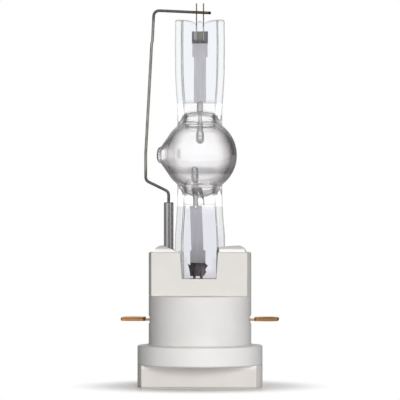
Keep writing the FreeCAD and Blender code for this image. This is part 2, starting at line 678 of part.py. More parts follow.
def foil_plate(x, z_lo, z_hi):
    """Wide plate that the foil is welded to."""
    front = FOIL_THICKNESS / 2
    return block(x - PLATE_HALF_WIDTH, x + PLATE_HALF_WIDTH, front,
                 front + PLATE_THICKNESS, z_lo, z_hi)


def upper_clip():
    """Folded clip with two side columns, a back sheet and a bottom bar."""
    back_y = UPPER_LEAD_R - FOIL_THICKNESS / 2
    clip = block(-CLIP_HALF_WIDTH, CLIP_HALF_WIDTH, back_y, CLIP_HALF_DEPTH,
                 UPPER_CLIP_Z, UPPER_CLIP_TOP_Z)
    bar = block(-CLIP_HALF_WIDTH, CLIP_HALF_WIDTH, -CLIP_HALF_DEPTH, CLIP_HALF_DEPTH,
                UPPER_CLIP_Z, UPPER_CLIP_Z + CLIP_BAR_HEIGHT)
    clip = clip.fuse(bar)
    for side in (-1, 1):
        x_a = side * CLIP_HALF_WIDTH
        x_b = side * (CLIP_HALF_WIDTH - CLIP_COLUMN_WIDTH)
        column = block(min(x_a, x_b), max(x_a, x_b), -CLIP_HALF_DEPTH, CLIP_HALF_DEPTH,
                       UPPER_CLIP_Z, UPPER_CLIP_TOP_Z)
        clip = clip.fuse(column)
    return clip.removeSplitter()


def lower_clip():
    """Crumpled folded clip with two small prongs and creased faces."""
    left = LOWER_SET_X - CLIP_HALF_WIDTH
    right = LOWER_SET_X + CLIP_HALF_WIDTH
    low = LOWER_CLIP_Z
    high = LOWER_CLIP_TOP_Z
    prong = high - PRONG_HEIGHT
    notch = PRONG_REACH / 4
    waist = mix(low, high, CLIP_WAIST)
    bulge = mix(low, high, CLIP_BULGE)
    outline = [(left + notch, low),
               (right - PRONG_REACH, low),
               (right - notch, mix(low, high, CLIP_NICK)),
               (right + notch, bulge),
               (right - notch, waist),
               (right + PRONG_REACH, prong),
               (right - notch, high - notch),
               (right - notch, high),
               (left + notch, high),
               (left + notch, prong),
               (left - PRONG_REACH, high - notch),
               (left - notch, waist),
               (left, bulge)]
    clip = front_prism(outline, -LOWER_CLIP_HALF_DEPTH, LOWER_CLIP_HALF_DEPTH)
    for x_foot, x_head in ((left + PRONG_REACH, LOWER_SET_X - PRONG_REACH),
                           (LOWER_SET_X + PRONG_REACH, right - PRONG_REACH)):
        for side in (-1, 1):
            face_y = side * LOWER_CLIP_HALF_DEPTH
            deep_y = side * (LOWER_CLIP_HALF_DEPTH - CREASE_DEPTH)
            foot = Part.makePolygon([vec(x_foot - CREASE_DEPTH, face_y, low - OVER),
                                     vec(x_foot + CREASE_DEPTH, face_y, low - OVER),
                                     vec(x_foot, deep_y, low - OVER),
                                     vec(x_foot - CREASE_DEPTH, face_y, low - OVER)])
            head = Part.makePolygon([vec(x_head - CREASE_DEPTH, face_y, high + OVER),
                                     vec(x_head + CREASE_DEPTH, face_y, high + OVER),
                                     vec(x_head, deep_y, high + OVER),
                                     vec(x_head - CREASE_DEPTH, face_y, high + OVER)])
            clip = clip.cut(Part.makeLoft([foot, head], True, True))
    return clip


def bent_path(corners, radii):
    """Wire of straight runs joined by tangent arcs at the inner corners."""
    edges = []
    start = corners[0]
    for index in range(1, len(corners) - 1):
        corner = corners[index]
        back = (corners[index - 1] - corner).normalize()
        ahead = (corners[index + 1] - corner).normalize()
        half_turn = back.getAngle(ahead) / 2
        radius = radii[index - 1]
        trim = radius / math.tan(half_turn)
        enter = corner + back * trim
        leave = corner + ahead * trim
        axis = (back + ahead).normalize()
        middle = corner + axis * (radius / math.sin(half_turn) - radius)
        edges.append(Part.makeLine(start, enter))
        edges.append(Part.Arc(enter, middle, leave).toShape())
        start = leave
    edges.append(Part.makeLine(start, corners[-1]))
    return Part.Wire(edges)


def return_lead():
    """Bent wire from over the upper leads, past the bulb and down into the cap."""
    corners = [vec(ARM_END_X, RETURN_Y, ARM_END_Z),
               vec(ARM_BEND_X, RETURN_Y, ARM_BEND_Z),
               vec(JOG_TOP_X, RETURN_Y, JOG_TOP_Z),
               vec(JOG_TOP_X - JOG_STEP_X, RETURN_Y, JOG_TOP_Z - JOG_STEP_Z),
               vec(SIDE_X, RETURN_Y, SIDE_TOP_Z),
               vec(SIDE_X, RETURN_Y, SIDE_END_Z),
               vec(SLEEVE_X, RETURN_Y, ELBOW_Z),
               vec(SLEEVE_X, RETURN_Y, RETURN_END_Z)]
    radii = [ARM_BEND_R, JOG_BEND_R, JOG_BEND_R, SIDE_BEND_R, ELBOW_BEND_R, ELBOW_BEND_R]
    path = bent_path(corners, radii)
    heading = (corners[1] - corners[0]).normalize()
    ring = Part.Wire(Part.makeCircle(RETURN_R, corners[0], heading))
    return path.makePipeShell([ring], True, True)


def return_sleeve():
    """Polished tube round the foot of the return lead."""
    tube = post(SLEEVE_R, SLEEVE_X, RETURN_Y, SLEEVE_FOOT_Z, SLEEVE_TOP_Z)
    tube = tube.makeChamfer(SLEEVE_CHAMFER, edges_at_height(tube, SLEEVE_TOP_Z))
    return tube.cut(post(RETURN_R, SLEEVE_X, RETURN_Y, SLEEVE_FOOT_Z - OVER, SLEEVE_TOP_Z + OVER))


def connector_strip():
    """Bent strip from the lower leads to the right blade tongue."""
    top = STRIP_Z + STRIP_THICKNESS
    seat = TONGUE_TOP_Z
    outline = [(STRIP_START_X, STRIP_Z),
               (STRIP_DROP_X, STRIP_Z),
               (STRIP_DROP_X, seat),
               (STRIP_FOOT_X, seat),
               (STRIP_FOOT_X, seat + STRIP_THICKNESS),
               (STRIP_DROP_X + STRIP_THICKNESS, seat + STRIP_THICKNESS),
               (STRIP_DROP_X + STRIP_THICKNESS, top),
               (STRIP_START_X, top)]
    return front_prism(outline, -STRIP_HALF_WIDTH, STRIP_HALF_WIDTH)


def leaned(shape):
    """Tilt the lower mount about the foot of its foil."""
    moved = shape.copy()
    moved.translate(vec(LOWER_PIVOT_X, 0, 0))
    pivot = vec(LOWER_PIVOT_X, 0, LOWER_PLATE_Z)
    moved.rotate(pivot, vec(0, 1, 0), LOWER_LEAN_DEG)
    return moved


def without(shape, others):
    """Cut the seats of other pieces out of a shape."""
    for other in others:
        shape = shape.cut(other)
    return shape


def upper_mount():
    """Conductors of the upper pinch."""
    nodes = {}
    rod = raised(electrode_rod(UPPER_FLAT_REACH))
    nodes["upper_electrode_rod"] = rod
    nodes["upper_electrode_coil"] = raised(electrode_coil()).cut(rod)
    nodes["upper_electrode_wrap"] = raised(
        electrode_wrap(UPPER_WRAP_R, UPPER_CAVITY_REACH, UPPER_FLAT_REACH))
    foil = foil_strip(UPPER_FLAT_Z, UPPER_PLATE_Z + FOIL_PLATE_OVERLAP)
    nodes["upper_foil"] = foil.cut(rod)
    plate = foil_plate(0, UPPER_PLATE_Z, UPPER_CLIP_Z + PLATE_GRIP)
    nodes["upper_foil_plate"] = plate
    lead_foot = UPPER_CLIP_Z + CLIP_BAR_HEIGHT
    left = post(UPPER_LEAD_R, -LEAD_HALF_PITCH, 0, lead_foot, UPPER_LEAD_TOP_Z)
    right = post(UPPER_LEAD_R, LEAD_HALF_PITCH, 0, lead_foot, UPPER_LEAD_TOP_Z)
    nodes["upper_lead_left"] = left
    nodes["upper_lead_right"] = right
    nodes["upper_lead_clip"] = without(upper_clip(), [plate, left, right])
    return nodes


def lower_mount():
    """Conductors of the lower pinch and of the wiring chamber."""
    nodes = {}
    rod = leaned(lowered(electrode_rod(LOWER_FLAT_REACH)))
    nodes["lower_electrode_rod"] = rod
    nodes["lower_electrode_coil"] = leaned(lowered(electrode_coil())).cut(rod)
    wrap = electrode_wrap(LOWER_WRAP_R, LOWER_CAVITY_REACH, LOWER_FLAT_REACH)
    wrap = leaned(lowered(wrap.fuse(lower_sheet()).removeSplitter()))
    nodes["lower_electrode_wrap"] = wrap.cut(rod)
    plate_end = LOWER_CLIP_TOP_Z - PLATE_GRIP
    foil = leaned(foil_strip(LOWER_PLATE_Z - FOIL_PLATE_OVERLAP, LOWER_FLAT_Z))
    nodes["lower_foil"] = without(foil, [rod, nodes["lower_electrode_wrap"]])
    plate = foil_plate(LOWER_SET_X, plate_end, LOWER_PLATE_Z)
    nodes["lower_foil_plate"] = plate
    left = post(LOWER_LEAD_R, LOWER_SET_X - LEAD_HALF_PITCH, 0, LOWER_LEAD_END_Z, LOWER_LEAD_TOP_Z)
    right = post(LOWER_LEAD_R, LOWER_SET_X + LEAD_HALF_PITCH, 0, LOWER_LEAD_END_Z, LOWER_LEAD_TOP_Z)
    nodes["lower_lead_left"] = left
    nodes["lower_lead_right"] = right
    nodes["lower_lead_clip"] = without(lower_clip(), [plate, left, right])
    nodes["lower_connector"] = without(connector_strip(), [left, right])
    return nodes


def build_nodes():
    """Every piece of the lamp under its node name."""
    nodes = {}
    upper = upper_mount()
    lower = lower_mount()
    nodes.update(upper)
    nodes.update(lower)
    lead = without(return_lead(), [upper["upper_lead_left"], upper["upper_lead_right"]])
    nodes["return_lead"] = lead
    nodes["return_sleeve"] = return_sleeve()
    nodes["contact_blade_left"] = contact_blade(-1).cut(lead)
    nodes["contact_blade_right"] = contact_blade(1)
    glass = without(quartz_envelope(), list(upper.values()) + list(lower.values()))
    nodes["quartz_envelope"] = glass
    nodes["ceramic_cap"] = ceramic_cap()
    left_fill = without(cement_block(-1, 0), [glass, nodes["return_sleeve"], lead])
    nodes["cement_left"] = left_fill
    nodes["cement_right"] = cement_block(1, RIGHT_INNER_RISE).cut(glass)
    return nodes


def main():
    os.makedirs("parts", exist_ok=True)
    for name, shape in build_nodes().items():
        solids = shape.Solids
        piece = solids[0] if len(solids) == 1 else Part.makeCompound(solids)
        piece.exportStep("parts/" + name + ".step")
        print(name, len(solids), piece.isValid(), round(piece.Volume, 2))


main()
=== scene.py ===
import math
import bpy
import numpy as np
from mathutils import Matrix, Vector


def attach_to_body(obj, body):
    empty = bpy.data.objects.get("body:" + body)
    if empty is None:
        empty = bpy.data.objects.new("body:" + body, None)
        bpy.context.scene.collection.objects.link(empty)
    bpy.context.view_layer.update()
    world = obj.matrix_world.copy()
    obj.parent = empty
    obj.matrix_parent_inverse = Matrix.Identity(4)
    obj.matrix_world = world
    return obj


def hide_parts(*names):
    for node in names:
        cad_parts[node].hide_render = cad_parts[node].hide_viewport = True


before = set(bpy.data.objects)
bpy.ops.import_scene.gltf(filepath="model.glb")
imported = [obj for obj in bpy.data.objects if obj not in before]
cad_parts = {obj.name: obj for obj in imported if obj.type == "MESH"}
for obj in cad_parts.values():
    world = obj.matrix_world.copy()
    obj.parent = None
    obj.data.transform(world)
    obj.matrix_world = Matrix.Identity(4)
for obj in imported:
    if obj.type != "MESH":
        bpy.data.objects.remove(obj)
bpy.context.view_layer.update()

# Studio view of a double-ended quartz lamp on its ceramic cap.
# Lengths and places below are millimetres, and become metres in a mesh or a material.
MM = 0.001

# Quartz envelope, reaches measured from the bulb centre
BULB_Z = 92.4
BULB_R = 14.8
WALL = 1.6
NECK_HALF = 8.9
NECK_DEPTH = 7.6
NECK_CORNER_R = 1.3
NECK_WALL = 1.2
NECK_PRESS = math.sqrt(BULB_R ** 2 - NECK_DEPTH ** 2)
NECK_END = 15.1
BORE_R = 6.4
HUMP_HALF = 7.0
UPPER_CAVITY = 17.2
LOWER_CAVITY = 16.0
DOME_RISE = 1.0
DOME_R = (BORE_R ** 2 + DOME_RISE ** 2) / (2 * DOME_RISE)
END_ROUND = 0.8
PRESS_END = 16.2
UPPER_FLAT = 20.8
LOWER_FLAT = 20.2
WEB_RAMP = 4.2
GLASS_FOOT_Z = 41.0
GLASS_TOP_Z = 146.4
PINCH_HALF = 9.9
PINCH_FULL = 35.0
RIB_WIDTH = 2.6
RIB_DEPTH = 3.0
WEB_DEPTH = 1.4
RIB_OUTER_R = 1.2
RIB_INNER_R = 0.7
CHANNEL_R = 0.9
TIP_CONE_X = 11.2
TIP_NECK_X = 16.2
TIP_NECK_R = 2.6
NIB_R = 3.2
NIB_HALF = 1.3
NIB_X = 16.1
EDGE_R = 0.8
MENISCUS_DEPTH = 1.25
MENISCUS_OUTER = 1.5
MENISCUS_INNER = 0.7
MENISCUS_POWER = 1.3
LEAD_PITCH = 1.4
CROWN_RISE = 0.25
CROWN_HALF = 7.2
CROWN_FALL = 6.0
TOP_ZONE = 4.0
BALL_ZONE = 11.0
CAVITY_MARGIN = 0.6
ARCH_START = 11.5
ARCH_END = 16.8
ARCH_FADE = 1.2
RIB_WAVE = 0.04
RIB_WAVE_TURN = 0.31
RIB_WAVE_PHASE = 0.6
INNER_CONE_X = 9.9
INNER_CONE_R = 8.5
INNER_TIP_X = 15.1
INNER_TIP_R = 1.7
TIP_SCAN = np.arange(9.0, 17.5, 0.02)
STEP_LEAST = 0.02
INNER_SHARE = 0.45
CHANNEL_SHARE = 0.5
PRESS_BLEND = 0.05
HUMP_BLEND_FLAT = 0.01
HUMP_BLEND = 0.2
OUTER_BLEND = 0.2
INNER_BLEND = 0.12
DEPTH_BLEND = 0.2
END_TAPER = 0.1
END_GAP = 0.05
CHAMBER_SIDES = 144
CHAMBER_ZONE = 10.0

# Electrodes
TIP_REACH = 4.45
HEAD_LENGTH = 4.7
HEAD_R = 1.62
UPPER_HEAD_R = HEAD_R - 0.05
HEAD_TIP_R = 0.05
HEAD_TIP_TURN = 0.15
HEAD_HOLE_R = 0.3
HEAD_DOME = 0.95
HEAD_EDGE = 0.08
HEAD_SHOULDER = 0.35
HEAD_RIM = 0.25
HEAD_WAVE = 0.02
HEAD_WAVE_TURN = 5.0
LOWER_HEAD_LENGTH = 2.5
LOWER_HEAD_R = 1.35
COIL_LENGTH = 2.8
COIL_GAP = 0.22
COIL_SINK = 0.2
COIL_PITCH = 0.68
COIL_R = 1.32
LOWER_COIL_CUT = 0.9
WIRE_R = 0.33
OUTER_R = HEAD_R - 0.42
OUTER_SINK = 0.1
OUTER_RUN = 0.6
OUTER_PITCH = 1.05
OUTER_WIRE_R = HEAD_R - OUTER_R
LEAN = math.radians(2.1)
PIVOT_X = -0.98
PIVOT_Z = 54.3

# Lower wrap: a tube round the rod and its flared sheet, as reaches from the bulb centre
WRAP_R = 1.0
ROD_R = 0.65
SHEET_TOP = 12.1
SHEET_STEP = 14.0
TUBE_OVERLAP = 1.0
SHEET_FOOT = 17.8
SHEET_HALF = 1.25
SHEET_FLARE = 2.5
LEG_X = 3.5
LEG_WIDTH = 0.6
SHEET_FRONT = 0.85
SHEET_BACK = 0.5


def mix(a, b, t):
    return a + (b - a) * t


def ease(t):
    t = np.clip(t, 0.0, 1.0)
    return t * t * (3.0 - 2.0 * t)


def smooth_max(a, b, soft):
    high = np.maximum(a, b)
    return high + soft * np.log(np.exp((a - high) / soft) + np.exp((b - high) / soft))


def mesh_object(name, points, faces, material, smooth=True):
    """Make a mesh piece of one material from millimetre points."""
    mesh = bpy.data.meshes.new(name)
    mesh.from_pydata((np.asarray(points) * MM).tolist(), [], [list(f) for f in faces])
    mesh.validate()
    mesh.polygons.foreach_set("use_smooth", [smooth] * len(mesh.polygons))
    mesh.update()
    piece = bpy.data.objects.new(name, mesh)
    bpy.context.scene.collection.objects.link(piece)
    mesh.materials.append(material)
    return piece


def loft_faces(levels, count, start=0, flip=False):
    """Quads between successive loops of the same number of points."""
    faces = []
    for level in range(levels - 1):
        low = start + level * count
        for i in range(count):
            j = (i + 1) % count
            quad = (low + i, low + j, low + count + j, low + count + i)
            faces.append(quad[::-1] if flip else quad)
    return faces


# Materials

def new_material(name, colour, roughness, metallic=0.0):
    made = bpy.data.materials.new(name)
    made.use_nodes = True
    shader = made.node_tree.nodes["Principled BSDF"]
    shader.inputs["Base Color"].default_value = (*colour, 1.0)
    shader.inputs["Roughness"].default_value = roughness
    shader.inputs["Metallic"].default_value = metallic
    return made, made.node_tree, shader


def add(tree, kind, **values):
    node = tree.nodes.new(kind)
    for key, value in values.items():
        setattr(node, key, value)
    return node


def object_coords(tree, scale=(1.0, 1.0, 1.0)):
    coords = add(tree, "ShaderNodeTexCoord")
    mapping = add(tree, "ShaderNodeMapping")
    mapping.inputs["Scale"].default_value = scale
    tree.links.new(coords.outputs["Object"], mapping.inputs["Vector"])
    return mapping.outputs["Vector"]


def noise(tree, vector, scale, detail=4.0, rough=0.55):
    node = add(tree, "ShaderNodeTexNoise")
    node.inputs["Scale"].default_value = scale
    node.inputs["Detail"].default_value = detail
    node.inputs["Roughness"].default_value = rough
    tree.links.new(vector, node.inputs["Vector"])
    return node.outputs["Fac"]


def ramp(tree, value, stops):
    node = add(tree, "ShaderNodeValToRGB")
    node.color_ramp.elements[0].position = stops[0][0]
    node.color_ramp.elements[0].color = (*stops[0][1], 1.0)
    node.color_ramp.elements[1].position = stops[-1][0]
    node.color_ramp.elements[1].color = (*stops[-1][1], 1.0)
    for place, colour in stops[1:-1]:
        element = node.color_ramp.elements.new(place)
        element.color = (*colour, 1.0)
    tree.links.new(value, node.inputs["Fac"])
    return node.outputs["Color"]


def grey(value):
    return (value, value, value)


def map_range(tree, value, low, high, to_low, to_high, kind="SMOOTHSTEP"):
    node = add(tree, "ShaderNodeMapRange", interpolation_type=kind)
    node.inputs["From Min"].default_value = low
    node.inputs["From Max"].default_value = high
    node.inputs["To Min"].default_value = to_low
    node.inputs["To Max"].default_value = to_high
    tree.links.new(value, node.inputs["Value"])
    return node.outputs["Result"]


def rise(tree, value, edge, low=0.0, high=1.0, kind="SMOOTHSTEP"):
    """Go from one number to another between the two millimetre places of an edge."""
    return map_range(tree, value, edge[0] * MM, edge[1] * MM, low, high, kind)


def fall(tree, value, edge):
    return rise(tree, value, edge, 1.0, 0.0)


def band(tree, value, span, soft):
    """One between two places, fading to nothing over a soft edge outside them."""
    low, high = span
    return times(tree, rise(tree, value, (low - soft, low)), fall(tree, value, (high, high + soft)))


def axis_place(tree):
    """X, Y and Z of the shaded point in metres."""
    coords = add(tree, "ShaderNodeTexCoord")
    place = add(tree, "ShaderNodeSeparateXYZ")
    tree.links.new(coords.outputs["Object"], place.inputs["Vector"])
    return place.outputs["X"], place.outputs["Y"], place.outputs["Z"]


def math_node(tree, operation, a, b=0.0):
    node = add(tree, "ShaderNodeMath", operation=operation)
    for socket, value in zip(node.inputs, (a, b)):
        if isinstance(value, (int, float)):
            socket.default_value = value
        else:
            tree.links.new(value, socket)
    return node.outputs["Value"]


def times(tree, a, b):
    return math_node(tree, "MULTIPLY", a, b)


def mix_colour(tree, factor, a, b, blend="MIX"):
    node = add(tree, "ShaderNodeMix", data_type="RGBA", blend_type=blend)
    if isinstance(factor, (int, float)):
        node.inputs[0].default_value = factor
    else:
        tree.links.new(factor, node.inputs[0])
    for socket, value in ((node.inputs[6], a), (node.inputs[7], b)):
        if isinstance(value, tuple):
            socket.default_value = (*value, 1.0)
        else:
            tree.links.new(value, socket)
    return node.outputs[2]


def tint(tree, a, b):
    """One colour darkened or tinted by another."""
    return mix_colour(tree, 1.0, a, b, "MULTIPLY")


def paint(tree, shader, colour):
    tree.links.new(colour, shader.inputs["Base Color"])


def bump(tree, shader, height, strength, distance):
    node = add(tree, "ShaderNodeBump")
    node.inputs["Strength"].default_value = strength
    node.inputs["Distance"].default_value = distance * MM
    tree.links.new(height, node.inputs["Height"])
    tree.links.new(node.outputs["Normal"], shader.inputs["Normal"])


# Places where the painted shade on the ceramic and the cement changes
GRIP_EDGE = (6.8, 8.0)
CYLINDER_EDGE = (16.2, 16.6)
BAR_EDGE = (36.2, 37.0)
FACET_EDGE = (22.5, 23.5)
CEMENT_SHADE_SPAN = (0.0, 10.0)


def ceramic_material():
    """Unglazed white steatite with a fine grain, faint mottling and painted shade by height."""
    made, tree, shader = new_material("ceramic", (0.84, 0.82, 0.79), 0.5)
    vector = object_coords(tree)
    clouds = noise(tree, vector, 90.0, 5.0)
    base = ramp(tree, clouds, [(0.3, (0.835, 0.829, 0.817)), (0.7, (0.88, 0.878, 0.87))])
    specks = noise(tree, vector, 2600.0, 2.0)
    dark = ramp(tree, specks, [(0.66, grey(1.0)), (0.76, grey(0.9))])
    across, _, height = axis_place(tree)
    # Painted shade: the cylinder and all above it 7 % darker, the bar darker and warmer, the grip under
    # the flange darker except at its end facets.
    body = mix_colour(tree, rise(tree, height, CYLINDER_EDGE), grey(1.0), grey(0.93))
    painted_bar_shade = mix_colour(tree, rise(tree, height, BAR_EDGE), body, (0.89, 0.875, 0.845))
    facet = rise(tree, math_node(tree, "ABSOLUTE", across), FACET_EDGE)
    painted_grip_shade = mix_colour(tree, facet, (0.84, 0.81, 0.775), (1.0, 0.98, 0.95))
    with_painted_light = mix_colour(tree, fall(tree, height, GRIP_EDGE), painted_bar_shade, painted_grip_shade)
    paint(tree, shader, tint(tree, tint(tree, base, dark), with_painted_light))
    bump(tree, shader, noise(tree, vector, 1500.0, 6.0), 0.25, 0.1)
    shader.inputs["Specular IOR Level"].default_value = 0.35
    return made


def cement_material():
    """White cement with a coarse grain, and painted shade that makes it a little darker on the left."""
    made, tree, shader = new_material("cement", (0.95, 0.95, 0.94), 0.85)
    vector = object_coords(tree)
    clouds = noise(tree, vector, 300.0, 6.0)
    base = ramp(tree, clouds, [(0.3, (0.96, 0.96, 0.955)), (0.7, (1.0, 1.0, 0.995))])
    # Painted shade: 5 % darker on the left.
    paint(tree, shader, tint(tree, base, rise(tree, axis_place(tree)[0], CEMENT_SHADE_SPAN, 0.95)))
    bump(tree, shader, noise(tree, vector, 1300.0, 8.0, 0.7), 0.6, 0.2)
    return made


# Places on the bulb, measured from its centre, most of them bounds of its painted shade, reflection and
# highlight
LOW_EDGE = (-5.0, 5.0)
UNDER_EDGE = (-3.0, -7.2)
UNDER_STOP = (-8.2, -7.2)
OVER_EDGE = (5.0, 9.0)
# Painted reflection on the front left of the bulb
REFLECTION_X = (-7.7, -7.5)
REFLECTION_Z = (-0.5, 1.0)
FRONT_EDGE = (-1.0, 1.0)
# Painted shade band low in the bulb
SHADE_BAND_Z = (-7.2, -6.0)
SHADE_BAND_X = (4.0, 8.5)
# Painted highlight at the tip-off
HIGHLIGHT_X = (-15.6, -13.0)
HIGHLIGHT_Z = (-1.2, 1.6)

# Places on the necks and their painted dark lines, measured from the bulb's centre
NECK_EDGE = (10.0, 12.5)
DOME_BAND = (-1.6, 0.0)
DOME_X = (6.0, 6.6)
BORE_IN = (4.4, 6.0)
BORE_OUT = (6.9, 7.4)
BORE_REACH = (12.0, 15.5)
HOOK_SLOPE = 0.54
HOOK_LINE = (14.72, 15.08)
HOOK_REACH = (12.2, 15.0)
LINE_REACHES = (12.04, 10.56, -11.1, 20.7, -19.6)
LINE_HALF = 0.06
LINE_X = (6.2, 6.6)
SEAL_SOFT = 0.6

# Heights and widths on the pinches, most of them bounds of painted shade
RIB_EDGE = (51.0, 54.0)
SLOT_EDGE = (50.0, 53.0)
SLOT_HALF = (0.0, 7.2)
FOOT_EDGE = (43.5, 47.5)
LIP_EDGE = (145.2, 145.9)
WEB_SOFT = 0.5


def bulb_colour(tree, facing, across, ahead, height, beside):
    """Wall darker by painted shade at a slant, on the right, low down and in a low band, with a painted
    reflection and a painted highlight on the left.
    """
    # Painted shade: the lower wall darker, the top a little lighter, the right side darker.
    painted_low_shade = times(tree, rise(tree, height, UNDER_EDGE, 0.0, 0.12), rise(tree, height, UNDER_STOP, -0.35))
    over = rise(tree, height, OVER_EDGE, 0.0, -0.08)
    level = math_node(tree, "ADD", painted_low_shade, over)
    painted_shade_shift = math_node(tree, "ADD", times(tree, across, 2.5), level)
    wall = ramp(tree, math_node(tree, "ADD", facing, painted_shade_shift), [
        (0.0, (0.95, 0.947, 0.955)), (0.2, (0.94, 0.935, 0.94)), (0.29, (0.78, 0.765, 0.775)),
        (0.36, (0.6, 0.58, 0.59)), (0.5, (0.43, 0.41, 0.42)), (0.66, (0.22, 0.205, 0.21)),
        (0.8, (0.06, 0.057, 0.057)), (1.0, (0.01, 0.0095, 0.0095))])
    # Painted shade: a soft grey band low in the middle of the bulb.
    painted_shade_band = times(tree, band(tree, height, SHADE_BAND_Z, 1.8), rise(tree, beside, SHADE_BAND_X, 0.5, 0.0))
    with_shade_band = mix_colour(tree, painted_shade_band, wall, (0.5, 0.49, 0.5))
    # Painted reflection: a grey streak on the front left of the bulb.
    painted_reflection = times(tree, band(tree, across, REFLECTION_X, 1.2), band(tree, height, REFLECTION_Z, 2.2))
    with_painted_reflection = mix_colour(tree, times(tree, painted_reflection, fall(tree, ahead, FRONT_EDGE)), with_shade_band, grey(0.62))
    # Painted highlight: a bright patch on the left at the tip-off.
    spot = times(tree, band(tree, across, HIGHLIGHT_X, 0.5), band(tree, height, HIGHLIGHT_Z, 1.2))
    return mix_colour(tree, spot, with_painted_reflection, grey(1.0))


def pinch_colour(tree, facing, level, beside, low_part):
    """Clear ribs with painted dark outlines and a faintly violet web between them, with painted shade in
    the slot and on the top lip.
    """
    outlined = ramp(tree, facing, [(0.0, (0.80, 0.81, 0.825)), (0.14, (0.80, 0.81, 0.825)),
                                   (0.3, grey(0.6)), (0.6, grey(0.4)), (1.0, grey(0.25))])
    rib = mix_colour(tree, fall(tree, level, RIB_EDGE), outlined, grey(1.0))
    upper_web = ramp(tree, facing, [(0.0, (0.77, 0.79, 0.835)), (0.12, (0.77, 0.79, 0.835)),
                                    (0.45, grey(0.74)), (1.0, grey(0.5))])
    lower_web = ramp(tree, facing, [(0.0, (0.81, 0.815, 0.88)), (0.12, (0.81, 0.815, 0.88)),
                                    (0.45, grey(0.66)), (1.0, grey(0.45))])
    # Painted shade: the web darker towards the slot's sides and at its foot.
    sideways = rise(tree, beside, SLOT_HALF, kind="LINEAR")
    sides = ramp(tree, sideways, [(0.0, grey(1.0)), (0.6, grey(1.0)), (1.0, grey(0.8))])
    shaded = mix_colour(tree, fall(tree, level, SLOT_EDGE), grey(1.0), sides)
    painted_foot_shade = mix_colour(tree, fall(tree, level, FOOT_EDGE), shaded, (0.8, 0.79, 0.78))
    web = tint(tree, mix_colour(tree, low_part, upper_web, lower_web), painted_foot_shade)
    inner_edge = NECK_HALF - RIB_WIDTH
    between = fall(tree, beside, (inner_edge, inner_edge + WEB_SOFT))
    # Painted shade: the top lip darker where seen edge on.
    painted_lip_shade = ramp(tree, facing, [(0.0, grey(0.8)), (0.25, grey(0.45)), (1.0, grey(0.15))])
    return mix_colour(tree, rise(tree, level, LIP_EDGE), mix_colour(tree, between, rib, web), painted_lip_shade)


def neck_colour(tree, facing, away, beside, low_part):
    """Painted shade: grey arches at the chamber's ends, dark bore walls and one hooked line at each
    corner.
    """
    neck = ramp(tree, facing, [(0.0, grey(1.0)), (0.3, grey(0.98)), (0.6, grey(0.92)), (1.0, grey(0.6))])
    sag = times(tree, times(tree, beside, beside), 0.5 / (DOME_R * MM))
    cavity = map_range(tree, low_part, 0.0, 1.0, UPPER_CAVITY * MM, LOWER_CAVITY * MM)
    beyond = math_node(tree, "SUBTRACT", math_node(tree, "ADD", away, sag), cavity)
    # Painted shade: the grey arch, the dark bore walls and the hooked lines stand in for refraction.
    painted_arch = times(tree, band(tree, beyond, DOME_BAND, 0.4), fall(tree, beside, DOME_X))
    with_painted_arch = mix_colour(tree, painted_arch, neck, (0.7, 0.69, 0.71))
    wall = times(tree, rise(tree, beside, BORE_IN), fall(tree, beside, BORE_OUT))
    with_painted_bore_shade = mix_colour(tree, times(tree, wall, band(tree, away, BORE_REACH, 0.8)), with_painted_arch, grey(0.28))
    leant = math_node(tree, "ADD", beside, times(tree, away, HOOK_SLOPE))
    painted_hook_line = times(tree, band(tree, leant, HOOK_LINE, 0.3), band(tree, away, HOOK_REACH, 0.3))
    return mix_colour(tree, times(tree, painted_hook_line, 0.9), with_painted_bore_shade, grey(0.12))


def painted_ring_lines(tree, height, beside):
    """Strength of the painted dark level lines on the bulb and the necks."""
    lines = 0.0
    for centre in LINE_REACHES:
        line = band(tree, height, (centre - LINE_HALF, centre + LINE_HALF), 0.2)
        lines = math_node(tree, "MAXIMUM", lines, line)
    return times(tree, lines, rise(tree, beside, LINE_X, 0.7, 0.0))


def glass_opacity(tree):
    """Little for shadow and diffuse rays, half at the fifth bounce or first mirroring, none after."""
    path = add(tree, "ShaderNodeLightPath")
    side_ray = math_node(tree, "MAXIMUM", path.outputs["Is Shadow Ray"], path.outputs["Is Diffuse Ray"])
    solid = map_range(tree, side_ray, 0.0, 1.0, 1.0, 0.08, "LINEAR")
    shallow = map_range(tree, path.outputs["Ray Depth"], 4.5, 5.5, 1.0, 0.0, "LINEAR")
    unturned = map_range(tree, path.outputs["Glossy Depth"], 0.5, 1.5, 1.0, 0.0, "LINEAR")
    return times(tree, solid, times(tree, shallow, unturned))


def glass_material():
    """Clear quartz with painted shade where the wall is seen edge on."""
    made, tree, shader = new_material("quartz", grey(1.0), 0.0)
    shader.inputs["Transmission Weight"].default_value = 1.0
    shader.inputs["IOR"].default_value = 1.46
    weight = add(tree, "ShaderNodeLayerWeight")
    weight.inputs["Blend"].default_value = 0.5
    facing = weight.outputs["Facing"]
    across, ahead, level = axis_place(tree)
    height = math_node(tree, "SUBTRACT", level, BULB_Z * MM)
    away = math_node(tree, "ABSOLUTE", height)
    beside = math_node(tree, "ABSOLUTE", across)
    low_part = fall(tree, height, LOW_EDGE)
    bulb = bulb_colour(tree, facing, across, ahead, height, beside)
    pinch = pinch_colour(tree, facing, level, beside, low_part)
    neck = neck_colour(tree, facing, away, beside, low_part)
    seal = rise(tree, away, (UPPER_FLAT - SEAL_SOFT, UPPER_FLAT))
    stem = mix_colour(tree, seal, neck, pinch)
    body = mix_colour(tree, fall(tree, away, NECK_EDGE), stem, bulb)
    # Painted shade: dark level lines over the glass colour.
    paint(tree, shader, mix_colour(tree, painted_ring_lines(tree, height, beside), body, grey(0.45)))
    tree.links.new(glass_opacity(tree), shader.inputs["Alpha"])
    bump(tree, shader, noise(tree, object_coords(tree, (1.0, 1.0, 0.35)), 160.0, 2.0), 0.12, 0.4)
    return made


